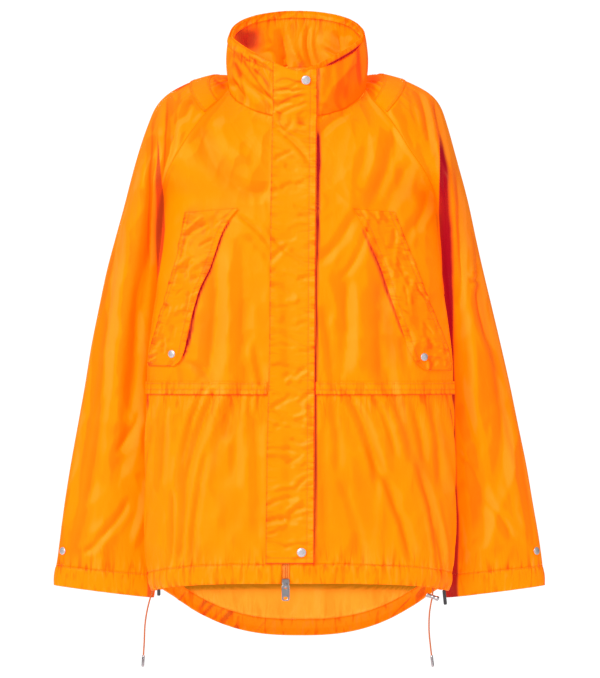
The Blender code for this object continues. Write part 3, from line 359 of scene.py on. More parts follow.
class Form:
    """The form that the solids have, worked out point by point."""

    @staticmethod
    def neck_point(turn: float) -> Vector:
        """The neckline at a plan angle: 0 at +X, a quarter turn at the back.

        Args:
            turn: The plan angle, 0 at +X.

        Returns:
            The point.
        """
        x, y = section(math.pi / 2 - turn, NECK_ROUND)
        y *= NECK_BACK if y > 0 else NECK_FRONT
        point = NECK_CENTRE + Vector((x * NECK_HALF_WIDTH, y, 0))
        point.z = -0.003 + 0.45 * point.y - 0.9 * point.y * point.y
        return point

    @staticmethod
    def neck_turn(point: Vector) -> float:
        """The plan angle of a point about the neck.

        Args:
            point: The point.

        Returns:
            The plan angle.
        """
        offset = point - NECK_CENTRE
        depth = NECK_BACK if offset.y > 0 else NECK_FRONT
        return math.atan2(offset.y / depth, offset.x / NECK_HALF_WIDTH)

    @classmethod
    def onto_neckline(cls, point: Vector, start: Vector, turn: float, level: float) -> Vector:
        """Move a point so that its column, which starts at a place, starts on the neckline."""
        return point + (cls.neck_point(turn) - start) * (1 - level) ** 2

    @staticmethod
    def raglan_point(side: Side, face: Face, level: float) -> Vector:
        """The seam between the sleeve and the body at a level.

        Args:
            side: Left or right.
            face: The front or the back.
            level: The level, from 0 at the neckline.

        Returns:
            The point.
        """
        seam = RAGLAN.at(level)
        if face is Face.FRONT:
            x = seam.left_x if side is Side.LEFT else seam.right_x
            return Vector((side.sign * x, seam.front_y, seam.front_z))
        return Vector((side.sign * seam.back_x, seam.back_y, seam.back_z))

    @classmethod
    @cache
    def chest_half(cls, side: Side, face: Face, level: float) -> SimpleNamespace:
        """The half section of the body above the underarm.

        Args:
            side: Which half.
            face: The front or the back.
            level: The level, from 0 at the neckline.

        Returns:
            Its middle point, its end at the sleeve's seam, its roundness and its reach from the middle.
        """
        row = CHEST.at(level)
        front = face is Face.FRONT
        middle = Vector((0, row.front_y, row.front_z)) if front else Vector((0, row.back_y, row.back_z))
        roundness = row.front_round if front else row.back_round
        end = cls.raglan_point(side, face, level)
        share = min(abs(end.y / middle.y), 1.0)
        reach = abs(end.x) / (1 - share ** roundness) ** (1 / roundness)
        return SimpleNamespace(middle=middle, roundness=roundness, end=end, reach=reach)

    @classmethod
    def chest_point(cls, face: Face, level: float, angle: float) -> Vector:
        """A point of the chest or upper back at a level and an angle.

        Args:
            face: The front or the back.
            level: The level, from 0 at the neckline.
            angle: The angle round the section, 0 at its middle.

        Returns:
            The point.
        """
        half = cls.chest_half(Side.LEFT if angle < 0 else Side.RIGHT, face, level)
        across, along = section(angle, half.roundness)
        y = along * half.middle.y
        x = across * half.reach
        to_seam_y = (y - half.middle.y) / (half.end.y - half.middle.y)
        to_seam_x = (x / half.end.x) ** 2
        z = blend(half.middle.z, half.end.z, blend(to_seam_y, to_seam_x, level / UNDERARM))
        return Vector((x, y, z))

    @staticmethod
    def hem_z(face: Face, across: float) -> float:
        """The hem's height across the front or the back.

        Args:
            face: The front or the back.
            across: The place across, from -1 to 1.

        Returns:
            The height.
        """
        if face is Face.FRONT:
            return FRONT_HEM_Z - FRONT_HEM_DIP * abs(across) ** 4
        return BACK_HEM_Z + BACK_HEM_RISE * abs(across) ** 2.6

    @classmethod
    def casing_z(cls, face: Face, across: float) -> float:
        """The height of the hem casing's seam across the front or the back.

        Args:
            face: The front or the back.
            across: The place across, from -1 to 1.

        Returns:
            The height.
        """
        height = blend(HEM_CASING if face is Face.FRONT else TAIL_CASING,
                       (HEM_CASING + TAIL_CASING) / 2, abs(across) ** 6)
        return cls.hem_z(face, across) + height

    @staticmethod
    def torso_point(face: Face, across: float, along: float, z: float) -> Vector:
        """A point of the body below the underarm.

        Args:
            face: The front or the back.
            across: The place across, from -1 to 1.
            along: The place from the middle to the face, 0 to 1.
            z: The height.

        Returns:
            The point.
        """
        row = TORSO.at(z)
        y = along * (row.front_y if face is Face.FRONT else row.back_y)
        tuck = TUCK * ramp((y - TUCK_START_Y) / -TUCK_START_Y) * ramp((UNDERARM_Z - z) / TUCK_FADE)
        return Vector((across * row.half_width * (1 - tuck), y, z))

    @staticmethod
    def torso_normal(point: Vector) -> Vector:
        """The way out of the body at a point below the underarm.

        Args:
            point: The point.

        Returns:
            The way out.
        """
        row = TORSO.at(point.z)
        front = point.y < 0
        depth = row.front_y if front else row.back_y
        roundness = FRONT_ROUND if front else BACK_ROUND
        nx = math.copysign(abs(point.x / row.half_width) ** (roundness - 1) / row.half_width, point.x)
        ny = math.copysign(abs(point.y / depth) ** (roundness - 1) / abs(depth), point.y)
        return Vector((nx, ny, 0)).normalized()

    @staticmethod
    def gather(face: Face, level: float, angle: float, share: float) -> float:
        """How far the cloth of the lower fronts stands out in gathers, below the waist seam.

        Args:
            face: The front or the back.
            level: The level, from 0 at the neckline.
            angle: The angle round the section, 0 at its middle.
            share: The share across its own piece.

        Returns:
            The distance, in metres.
        """
        if face is Face.BACK or level <= WAIST:
            return 0.0
        drop = level - WAIST
        height = ramp(drop / 0.8) * (0.35 + 0.65 * math.exp(-((drop - 0.8) / 2.4) ** 2))
        hidden = 0.11 if angle < math.radians(-10) else 0.17
        edge = ramp(share / 0.06) * ramp((1 - share - hidden) / 0.06)
        wave = math.sin(2 * math.pi * (share + 0.055 * drop) * WAVES) * (0.7 + 0.3 * math.sin(9.7 * share))
        return WAVE_HEIGHT * height * edge * wave

    @classmethod
    def body_point(cls, face: Face, level: float, angle: float, share: float = 0.5) -> Vector:
        """A point on the outer face of the body.

        Args:
            face: The front or the back.
            level: The level, from 0 at the neckline down to the hem.
            angle: The angle round the section, 0 at the middle.
            share: The share across its own piece, 0 to 1.

        Returns:
            The point.
        """
        if level <= UNDERARM:
            point = cls.chest_point(face, level, angle)
            if level < 1:
                start = cls.chest_point(face, 0, angle)
                point = cls.onto_neckline(point, start, cls.neck_turn(start), level)
            return point
        across, along = section(angle, FRONT_ROUND if face is Face.FRONT else BACK_ROUND)
        if level <= WAIST:
            z = blend(UNDERARM_Z, WAIST_Z, (level - UNDERARM) / (WAIST - UNDERARM))
        elif level <= CASING_TOP:
            z = blend(WAIST_Z, cls.casing_z(face, across), (level - WAIST) / (CASING_TOP - WAIST))
        else:
            z = blend(cls.casing_z(face, across), cls.hem_z(face, across), level - CASING_TOP)
        point = cls.torso_point(face, across, along, z)
        lift = cls.gather(face, level, angle, share)
        return point + cls.torso_normal(point) * lift if lift else point

    @classmethod
    def front_at(cls, x: float, z: float) -> tuple[Vector, Vector]:
        """The point and the way out of the front at a place below the underarm.

        Args:
            x: The distance from the middle.
            z: The height.

        Returns:
            The point and the way out.
        """
        row = TORSO.at(z)
        across, along = section(section_angle(x / row.half_width, FRONT_ROUND), FRONT_ROUND)
        point = cls.torso_point(Face.FRONT, across, along, z)
        return point, cls.torso_normal(point)

    @classmethod
    def edge_angle(cls, side: Side, face: Face, level: float) -> float:
        """The angle of a body piece's side edge.

        Args:
            side: Left or right.
            face: The front or the back.
            level: The level, from 0 at the neckline.

        Returns:
            The angle.
        """
        if level >= UNDERARM:
            return side.sign * math.pi / 2
        half = cls.chest_half(side, face, level)
        return section_angle(half.end.x / half.reach, half.roundness)

    @classmethod
    def middle_angle(cls, level: float, x: float) -> float:
        """The angle at which the front is at a small distance x from its middle.

        Args:
            level: The level, from 0 at the neckline.
            x: The distance from the middle.

        Returns:
            The angle.
        """
        if level <= UNDERARM:
            half = cls.chest_half(Side.LEFT if x < 0 else Side.RIGHT, Face.FRONT, level)
            return section_angle(x / half.reach, half.roundness)
        row = TORSO.at(blend(UNDERARM_Z, FRONT_HEM_Z, (level - UNDERARM) / (HEM - UNDERARM)))
        return section_angle(x / row.half_width, FRONT_ROUND)

    @classmethod
    @cache
    def sleeve_ring(cls, side: Side, station: float) -> SimpleNamespace:
        """One cross-section of a sleeve.

        Args:
            side: Which sleeve.
            station: The station, from 0 at the neckline.

        Returns:
            Where it starts, turns over and ends, its cut angle, its centre, its forward way and its roundness.
        """
        if station <= UNDERARM:
            row = SHOULDER.at(station)
            x, z = (row.left_x, row.left_z) if side is Side.LEFT else (row.right_x, row.right_z)
            start = cls.raglan_point(side, Face.FRONT, station)
            end = cls.raglan_point(side, Face.BACK, station)
            outer = Vector((side.sign * x, 0.004 * math.sin(math.pi * station / UNDERARM), z))
        else:
            row = ARM.at(station)
            start = end = Vector((side.sign * row.inner_x, row.y, row.inner_z))
            outer = Vector((side.sign * (row.left_x if side is Side.LEFT else row.right_x), row.y, row.outer_z))
        middle = (start + end) / 2
        opening = (start - end).length / 2
        cut = math.asin(min(opening / row.depth, 1.0))
        centre = (middle + outer * math.cos(cut)) / (1 + math.cos(cut))
        forward = (start - end) / (2 * math.sin(cut)) if opening > 1e-6 else Vector((0, -row.depth, 0))
        return SimpleNamespace(start=start, end=end, outer=outer, cut=cut, centre=centre, forward=forward,
                               roundness=blend(2.0, 2.5, ramp((station - UNDERARM) / 3)))

    @classmethod
    def raw_sleeve_point(cls, side: Side, station: float, around: float) -> Vector:
        """A sleeve's point before its folds.

        Args:
            side: Left or right.
            station: The station, from 0 at the neckline.
            around: From 0 at the front seam to 1 at the back.

        Returns:
            The point.
        """
        ring = cls.sleeve_ring(side, station)
        forth, out = section(blend(math.pi - ring.cut, ring.cut - math.pi, around), ring.roundness)
        return ring.centre + (ring.outer - ring.centre) * out + ring.forward * forth

    @staticmethod
    def sleeve_fold(station: float, around: float) -> float:
        """How far the broad folds push a sleeve out.

        Args:
            station: The station, from 0 at the neckline.
            around: From 0 at the front seam to 1 at the back.

        Returns:
            The distance, in metres.
        """
        total = 0.0
        for _, place, drift, first, last, width, depth in SLEEVE_FOLDS.rows:
            run = (station - first) / (last - first)
            if 0 < run < 1:
                offset = (around - place - drift * run) / width
                total += depth * math.exp(-offset * offset) * math.sin(math.pi * run)
        return total

    @classmethod
    def sleeve_point(cls, side: Side, station: float, around: float) -> Vector:
        """A point on a sleeve.

        Args:
            side: Which sleeve.
            station: The station, from 0 at the neckline down to the cuff's end.
            around: From 0 at the front seam over the top to 1 at the back.

        Returns:
            The point on the outer face.
        """
        point = cls.raw_sleeve_point(side, station, around)
        if station < 1:
            ring = cls.sleeve_ring(side, 0)
            front, back = cls.neck_turn(ring.start), cls.neck_turn(ring.end)
            front += 2 * math.pi if side is Side.LEFT else 0.0
            start = cls.raw_sleeve_point(side, 0, around)
            point = cls.onto_neckline(point, start, blend(front, back, around), station)
        fold = cls.sleeve_fold(station, around)
        if fold:
            point += (point - cls.sleeve_ring(side, station).centre).normalized() * fold
        return point

    @classmethod
    def sleeve_out(cls, side: Side, station: float, around: float, step: float = 0.01) -> Vector:
        """The way out of a sleeve at a place, from points a small step away.

        Args:
            side: Left or right.
            station: The station, from 0 at the neckline.
            around: From 0 at the front seam to 1 at the back.
            step: How far the points are away.

        Returns:
            The way out.
        """
        across = cls.sleeve_point(side, station, around + step) - cls.sleeve_point(side, station, around - step)
        down = cls.sleeve_point(side, station + step, around) - cls.sleeve_point(side, station - step, around)
        out = across.cross(down).normalized()
        away = cls.sleeve_point(side, station, around) - cls.sleeve_ring(side, station).centre
        return out if out.dot(away) > 0 else -out

    @staticmethod
    def rim_point(turn: float, outer: bool) -> Vector:
        """The collar's top edge; the outer layer's right front stands away from the inner one.

        Args:
            turn: The plan angle, 0 at +X.
            outer: Whether it is the outer layer.

        Returns:
            The point.
        """
        s, c = math.sin(turn), math.cos(turn)
        roundness = 2.2 if s > 0 else 1.85 if c > 0 and outer else 1.22
        x, y = section(math.pi / 2 - turn, roundness)
        y *= RIM_BACK if y > 0 else RIM_FRONT
        point = NECK_CENTRE + Vector((x * RIM_HALF_WIDTH, y, 0))
        lift = point.y + 0.014
        point.z = RIM_MIDDLE_Z - 0.007 + lift * (0.53 if lift < 0 else 0.46)
        return point

    @classmethod
    def collar_point(cls, turn: float, height: float, outer: bool = True) -> Vector:
        """A point on the outer face of a collar layer, from the neckline up to the rim.

        Args:
            turn: The plan angle, 0 at +X.
            height: From 0 at the neckline to 1 at the rim.
            outer: Whether it is the outer layer.

        Returns:
            The point.
        """
        low = cls.neck_point(turn) + Vector((0, 0, CLEAR))
        point = blend(low, cls.rim_point(turn, outer), height)
        away = Vector((point.x - NECK_CENTRE.x, point.y - NECK_CENTRE.y, 0)).normalized()
        swell = COLLAR_SWELL * math.sin(math.pi * height)
        if outer:
            return point + away * swell
        near_zip = point.y < NECK_CENTRE.y
        behind_zip = math.exp(-(((point.x - ZIP_X) / ZIP_ROOM_WIDTH) ** 2)) if near_zip else 0.0
        inset = CLOTH + CLEAR + LAYER_GAP * ramp(height * 4) + ZIP_ROOM * behind_zip
        crumple = CRUMPLE * math.sin(math.pi * height) * (1 + math.sin(5 * turn))
        return point + away * (swell - inset - crumple)

    @classmethod
    def collar_front_at(cls, x: float, height: float) -> Vector:
        """The outer collar's front at a distance x from the middle.

        Args:
            x: The distance from the middle.
            height: From 0 at the neckline to 1 at the rim.

        Returns:
            The point.
        """
        low, high = math.radians(200), math.radians(340)
        for _ in range(22):
            turn = (low + high) / 2
            low, high = (turn, high) if cls.collar_point(turn, height).x < x else (low, turn)
        return cls.collar_point(turn, height)


# ---------------------------------------------------------------- folds

def noise_line(t: np.ndarray, cell: float, seed: int) -> np.ndarray:
    """Smooth uneven waves along a line, from -1 to 1.

    Args:
        t: Places along the line, in metres.
        cell: The length of one wave's half, in metres.
        seed: Which waves.

    Returns:
        The waves' height at each place.
    """
    values = np.random.RandomState(seed).uniform(-1, 1, 1024)
    place = t / cell + 300
    low = np.floor(place).astype(int)
    part = smooth(place - low)
    return values[low % 1024] * (1 - part) + values[(low + 1) % 1024] * part


def noise_plane(u: np.ndarray, v: np.ndarray, cell: float, seed: int) -> np.ndarray:
    """Smooth uneven humps over a plane, from -1 to 1.

    Args:
        u: Places across, in metres.
        v: Places up, in metres.
        cell: A hump's width, in metres.
        seed: Which humps.

    Returns:
        The height at each place.
    """
    values = np.random.RandomState(seed).uniform(-1, 1, (128, 128))
    a, b = u / cell + 64, v / cell + 64
    i, j = np.floor(a).astype(int), np.floor(b).astype(int)
    s, t = smooth(a - i), smooth(b - j)
    top = values[i % 128, j % 128] * (1 - s) + values[(i + 1) % 128, j % 128] * s
    low = values[i % 128, (j + 1) % 128] * (1 - s) + values[(i + 1) % 128, (j + 1) % 128] * s
    return top * (1 - t) + low * t


def facets(u: np.ndarray, v: np.ndarray, cell_u: float, cell_v: float, seed: int) -> np.ndarray:
    """Uneven facets that meet in crisp creases, from 0 at their middles to about 1.

    Args:
        u: Places across, in metres.
        v: Places up, in metres.
        cell_u: A facet's width, in metres.
        cell_v: A facet's height, in metres.
        seed: Which facets.

    Returns:
        The height at each place.
    """
    middles = np.random.RandomState(seed).uniform(0.1, 0.9, (64, 64, 2))
    a = u / cell_u + 0.5 * noise_plane(u, v, cell_u * 1.6, seed + 1) + 32
    b = v / cell_v + 0.5 * noise_plane(u, v, cell_v * 1.6, seed + 2) + 32
    i, j = np.floor(a).astype(int), np.floor(b).astype(int)
    nearest = np.full(u.shape, 9.0)
    for di in (-1, 0, 1):
        for dj in (-1, 0, 1):
            middle = middles[(i + di) % 64, (j + dj) % 64]
            away = np.hypot(a - i - di - middle[..., 0], b - j - dj - middle[..., 1])
            nearest = np.minimum(nearest, away)
    return nearest ** 1.5


def scattered(seed: int, count: int, box: tuple[float, float, float, float], lean: float, spread: float,
              length: float, width: float, height: float) -> tuple[tuple, ...]:
    """Short creases strewn over a box, in millimetres.

    Args:
        seed: Which creases.
        count: How many.
        box: The lowest and highest x, then the lowest and highest z.
        lean: The creases' usual angle from the x axis, in degrees.
        spread: How far the angle strays, in degrees.
        length: Their usual length.
        width: Their usual width.
        height: Their usual height, in or out.

    Returns:
        Rows for a fold set.
    """
    draw = np.random.RandomState(seed)
    rows = []
    for _ in range(count):
        x, z = draw.uniform(box[0], box[1]), draw.uniform(box[2], box[3])
        angle = math.radians(lean + draw.uniform(-spread, spread))
        half = length * draw.uniform(0.5, 1.4) / 2
        dx, dz = half * math.cos(angle), half * math.sin(angle)
        shape = Crease.SHARP if draw.uniform() < 0.5 else Crease.TUCK
        rows.append((x - dx, z - dz, x + dx, z + dz, draw.uniform(-0.15, 0.15) * half, width * draw.uniform(0.7, 1.5),
                     height * draw.uniform(0.4, 1.3) * draw.choice((-1, -1, 1)), shape))
    return tuple(rows)


@dataclass(frozen=True)
class FoldSet:
    """Folds on a plane, in millimetres: rows of start, end, bow, width, height and, unless it is soft, the shape."""

    rows: tuple[tuple, ...]

    def height(self, u: np.ndarray, v: np.ndarray) -> np.ndarray:
        """How far the folds push the cloth out.

        Args:
            u: Places across, in metres.
            v: Places up, in metres.

        Returns:
            The height at each place, in metres.
        """
        total = np.zeros_like(u)
        for x0, z0, x1, z1, bow, width, height, *named in self.rows:
            shape = named[0] if named else Crease.SOFT
            start, end = np.array((x0, z0)) / 1000, np.array((x1, z1)) / 1000
            length = float(np.linalg.norm(end - start))
            way = (end - start) / length
            side = np.array((-way[1], way[0]))
            du, dv = u - start[0], v - start[1]
            along = (du * way[0] + dv * way[1]) / length
            near = (along > -0.25) & (along < 1.25)
            run = along[near]
            off = (du[near] * side[0] + dv[near] * side[1]) - bow / 1000 * 4 * run * (1 - run)
            off = off / (width / 1000)
            taper = smooth((run + 0.2) / 0.4) * smooth((1.2 - run) / 0.4)
            if shape is Crease.SOFT:
                profile = 0.75 * np.clip(1.1 - np.abs(off) / 1.5, 0, 1) + 0.25 * np.exp(-off * off)
            elif shape is Crease.SHARP:
                profile = 1 / (1 + off * off * 1.5) ** 2 - 0.35 * np.exp(-((np.abs(off) - 1.8) ** 2))
            else:
                profile = np.exp(-(off * off) / 2) * (1 + 1.3 * off) * 0.8
            total[near] += height / 1000 * profile * taper
        return total


C, T = Crease.SHARP, Crease.TUCK

FRONT_FOLDS = FoldSet((
    (-137, -70, -92, -150, -8, 13, -3), (-92, -150, -42, -160, -7, 10, -2.2), (-112, -66, -74, -118, -4, 10, 1.8),
    (-82, -195, -42, -234, 3, 4, -2, C), (-70, -226, -44, -258, 2, 5, -1, T), (-118, -262, -128, -422, 5, 11, -2.6),
    (-98, -250, -104, -420, 4, 10, 1.8), (-78, -300, -70, -425, -4, 11, -1.5),
    (-150, -395, -120, -425, 3, 6, -1.3, C), (-64, -372, -52, -430, -2, 5, -1.2, T), (30, -76, 68, -50, 3, 6, -2.6),
    (130, -72, 103, -176, 6, 13, -3.2), (108, -80, 92, -150, 4, 9, 1.8), (146, -125, 121, -182, 3, 8, -2),
    (180, -160, 150, -216, 4, 8, -2.2), (76, -190, 27, -256, 5, 7, -2), (92, -214, 60, -276, 4, 5, -1.1, C),
    (62, -286, 56, -410, 5, 10, -2.6), (80, -290, 82, -415, -3, 9, 1.7), (113, -280, 116, -424, -5, 12, -3),
    (140, -360, 150, -425, 3, 7, -1.6), (30, -330, 40, -420, 2, 6, -1.4, T), (-122, -440, -158, -556, -6, 5, -3, T),
    (-158, -552, -166, -668, 3, 6, -2.2), (-138, -440, -168, -560, -5, 4, -2.4, T),
    (-131, -520, -152, -668, -4, 4, -2, T), (-110, -446, -128, -560, -4, 7, 1.8),
    (-176, -575, -178, -668, 1, 4, -1.8, C), (-96, -442, -104, -500, -2, 5, -1.8, T),
    (-84, -442, -88, -560, -2, 7, -1.8), (-68, -440, -70, -464, 0, 3, -1.6, C), (-62, -470, -58, -640, 2, 8, -1.6),
    (-186, -450, -196, -560, -2, 5, -1.6, T), (62, -440, 103, -556, 6, 5, -3, T),
    (96, -520, 150, -664, 6, 5, -2.8, T), (80, -442, 118, -540, 4, 6, 1.7), (98, -442, 128, -520, 4, 4, -1.8, T),
    (122, -442, 150, -530, 4, 5, -2, T), (164, -542, 198, -690, 5, 5, -2.8, C), (150, -442, 172, -530, 3, 5, -1.8),
    (178, -450, 192, -560, 2, 5, -1.6, T), (44, -444, 52, -540, 2, 6, -1.8), (34, -470, 36, -640, -2, 7, -1.4),
    (60, -560, 84, -668, 3, 7, -1.8), (180, -600, 190, -680, 1, 3, -1.5, C), (190, -610, 201, -684, 1, 3, -1.5, C),
))

SLEEVE_FRONT_FOLDS = FoldSet((
    (-185, -34, -186, -140, 3, 5, -2.8, T), (-204, -66, -209, -250, 4, 6, -2.6),
    (-170, -26, -176, -90, 2, 5, -1.6, C), (-150, -14, -168, -60, 3, 5, -1.6, T),
    (-222, -120, -236, -300, 6, 12, 2.2), (-240, -180, -262, -430, 7, 13, 2.4), (-226, -250, -252, -560, 8, 11, -2.6),
    (-270, -240, -300, -600, 9, 10, -1.8), (-285, -330, -318, -640, 7, 9, 1.6),
    (-225, -470, -256, -520, 4, 6, -1.4, C), (-240, -590, -282, -640, 4, 6, -1.5, C),
    (-212, -560, -232, -650, 3, 6, 1.5), (-268, -630, -300, -660, 3, 5, -1.2, C),
    (185, -36, 200, -132, 3, 5, -2.6, T), (202, -96, 206, -310, 3, 5, 2.2), (213, -80, 222, -300, 5, 5, -2.8),
    (168, -24, 178, -84, 2, 5, -1.6, C), (236, -120, 240, -200, 2, 6, -1.6), (245, -218, 249, -278, 3, 5, -3, C),
    (249, -278, 236, -282, 1, 4, -2.2, C), (247, -286, 261, -366, -6, 6, -2.6, T), (228, -300, 246, -470, 6, 11, 2.2),
    (262, -340, 284, -520, 6, 9, -2), (226, -440, 256, -640, 7, 10, -2.2), (292, -520, 314, -650, 4, 8, 1.6),
    (220, -520, 246, -560, 3, 5, -1.3, C), (262, -590, 296, -640, 3, 6, -1.4, C),
    (214, -600, 224, -670, 2, 5, -1.4, T),
))

BACK_FOLDS = FoldSet((
    (-120, 0, -40, -60, 8, 12, -2.2), (110, -4, 34, -70, -8, 12, -2.2), (-160, -90, -90, -190, 8, 11, -2.6),
    (156, -96, 96, -200, -7, 11, -2.6), (-60, -60, -52, -190, 4, 14, 1.8), (40, -80, 52, -220, -4, 14, -1.8),
    (-188, -190, -120, -260, 6, 7, -2, T), (186, -200, 130, -280, -6, 7, -2, T),
    (-130, -260, -100, -420, 5, 12, -2.6), (-84, -240, -78, -400, 3, 12, 2), (-30, -210, -24, -390, 3, 13, -2),
    (66, -250, 72, -430, -4, 12, -2.4), (120, -300, 132, -460, 4, 11, 2), (168, -330, 150, -480, 4, 9, -2.2),
    (-168, -360, -150, -520, 4, 9, -2), (-110, -470, -132, -700, 5, 7, -2.6, T), (-60, -430, -72, -690, 5, 10, -2.2),
    (-12, -460, -8, -740, 4, 9, 2), (34, -500, 30, -760, -3, 7, -2.4, T), (84, -480, 104, -720, 5, 9, -2.4),
    (140, -520, 158, -700, 4, 7, -2.2, T), (184, -560, 190, -690, 2, 6, -1.8), (-176, -560, -186, -690, 2, 6, -1.8),
))

SLEEVE_BACK_FOLDS = FoldSet((
    (-150, 20, -196, -90, -6, 9, -2.2), (-210, -80, -226, -260, 5, 11, -2.6), (-240, -200, -230, -300, 5, 6, -2.4, T),
    (-256, -250, -286, -420, 7, 8, -2.2), (-226, -340, -256, -560, 7, 11, 2.2), (-280, -420, -308, -600, 6, 9, -2),
    (-236, -560, -268, -660, 5, 7, -1.8, T), (148, 16, 192, -92, 6, 9, -2.2), (206, -90, 222, -270, -5, 11, -2.6),
    (236, -210, 228, -306, -5, 6, -2.4, T), (250, -240, 276, -410, -7, 8, -2), (222, -350, 250, -560, -6, 11, 2.2),
    (276, -430, 302, -610, -6, 9, -2), (232, -570, 262, -660, -5, 7, -1.8, T),
))

SLEEVE_FOLD_SETS = SLEEVE_FRONT_FOLDS, SLEEVE_BACK_FOLDS

FLAP_FOLDS = FoldSet((
    (-34, -58, 4, -40, 2, 3.5, -1.5, C), (-38, -62, 14, -83, -3, 4, -1.5, C), (-12, -23, 14, -20, 1, 2.5, -1, C),
    (-36, -72, 12, -118, 4, 4, -1.8, C), (-34, -116, -12, -106, 1, 3, -1.2, C), (-38, -158, 2, -154, -2, 4, -1.2),
    (-36, -226, 14, -262, -4, 4, -1.6, C), (-40, -290, -8, -302, 2, 4, -1), (-38, -350, 2, -371, 2, 4, -1.3, C),
    (-36, -398, 2, -406, 2, 4, -1.3), (-38, -458, 14, -482, -4, 4, -1.5, C), (6, -452, 10, -480, 1, 4, 1.6),
    (-42, -524, 6, -544, 3, 5, -1.3), (-44, -590, -8, -580, 2, 4, -1.1, C), (-44, -640, 8, -650, -3, 4, -1.3, C),
    (-20, -280, -16, -420, 2, 8, -1), (-14, -490, -18, -640, 2, 8, -1),
))

# Painted deep shade beside the flaps' free edges and in a few broad patches on the right front; each height is the
# shade's strength in thousandths.
FLAP_SHADE = FoldSet((
    (-97, -202, -110, -224, 0, 1.6, 1000), (-108, -222, -126, -270, 0, 2.2, 1400),
    (-124, -266, -146, -324, -2, 2.6, 1500), (-145, -320, -154, -372, 0, 2.2, 1300),
    (-149, -350, -161, -388, -1, 2, 1300), (-157, -380, -178, -397, -3, 1.8, 1300),
    (-168, -395, -206, -397, 1, 1.3, 900), (86, -212, 98, -240, 0, 1.6, 700), (97, -238, 120, -296, 2, 3.2, 900),
    (119, -294, 140, -352, 0, 2, 800), (139, -350, 160, -398, 2, 1.3, 600), (25, -78, 26, -130, 0, 2.8, 1300),
    (25, -122, 24, -240, 0, 2.2, 1500), (23, -236, 22, -420, 0, 1.6, 1400), (104, -290, 128, -392, 4, 9, 170),
    (132, -436, 170, -548, -6, 7, 150), (168, -530, 186, -650, 0, 9, 130), (22, -420, 20, -660, 0, 1.6, 1400),
))

# Painted shade along creases of the collar's left front and the storm flap's top; each height is the shade's strength
# in thousandths.
COLLAR_SHADE = FoldSet((
    (-80, 26, -34, -38, -2, 1.7, 480), (-66, 12, -44, -14, 2, 1.5, 400), (-92, 23, -85, 1, 1, 2, 520),
    (-85, 1, -76, -27, 1, 1.8, 520), (-95, 5, -77, -26, -2, 1.5, 420), (-74, 32, -61, 20, 1, 1.4, 460),
    (-82, 35, -70, 21, -1, 1.4, 460), (-62, 24, -47, 12, 1, 1.4, 420), (-88, 32, -82, 20, 1, 1.4, 400),
    (-50, 18, -38, 6, 0, 1.4, 360), (-34, -10, -14, -6, 3, 1.5, 420), (-14, -6, 8, -8, -2, 1.5, 420),
    (-34, -45, 3, -28, 4, 1.7, 460), (-38, -45, 14, -70, -3, 1.7, 440), (-24, 16, 0, 9, 2, 1.4, 360),
    (-30, -62, -8, -84, -3, 1.5, 320), (-30, -20, -8, -24, 3, 1.5, 330),
))

# Painted shade along creases of the shoulders and the sleeves' fronts; each height is the shade's strength in
# thousandths.
SLEEVE_SHADE = FoldSet((
    (-174, -14, -150, -1, 1.5, 3.4, 1300), (-122, 2, -104, -14, 2, 1.8, 500), (-116, 8, -100, -4, -2, 1.6, 500),
    (-110, 4, -98, 0, 1, 1.6, 500), (98, 0, 112, -10, 2, 1.8, 450), (100, -10, 112, -24, 1, 1.6, 400),
    (-186, -27, -187, -125, 1, 1, 620), (-206, -56, -209, -250, 1, 1.2, 420), (186, -25, 193, -95, 1, 1.1, 650),
    (246, -210, 251, -270, 2, 1.8, 620), (251, -270, 238, -271, 0.5, 1.4, 420), (248, -280, 262, -357, -5, 1.5, 520),
    (216, -70, 219, -250, 0, 2.6, 300), (156, 0, 172, -8, -1, 2, 450),
))

COLLAR_FOLDS = FoldSet((
    (-89, 13, -42, -32, -5, 4.5, -2.4, C), (-62, 22, -39, -26, 3, 4, -2, C), (-97, -8, -78, -40, 3, 4, -2.2, T),
    (-94, 40, -60, 6, 3, 5, 1.6), (-84, -6, -52, -44, -3, 5, 1.6), (-70, 34, -44, 20, 2, 3, -1.4, C),
    (-60, -18, -42, -52, 2, 3.5, -1.6, T), (36, 20, 30, -46, -4, 5, 0.9), (56, 40, 62, -30, 3, 8, -0.8),
    (78, 20, 70, -30, -2, 6, -0.6), (26, -40, 52, -52, 1, 4, -1.4, C), (84, 44, 88, -6, 1, 5, -1.2),
))

COLLAR_INSIDE_FOLDS = FoldSet((
    (-27, 68, -22, 12, 4, 6, 4), (11, 72, 24, 14, -6, 3.5, 3, C), (-64, 62, -34, 20, 7, 9, -2.6),
    (30, 62, 48, 20, 3, 8, -2), (38, 46, 68, 34, -3, 4, 2, C), (52, 68, 58, 30, 2, 5, 2),
    (-50, 44, -20, 30, 3, 4, 1.6, C), (70, 60, 80, 28, 2, 5, -1.8), (-8, 42, 8, 12, 2, 4, -2.4, C),
    (-80, 60, -72, 24, 2, 5, 2.2, T),
))

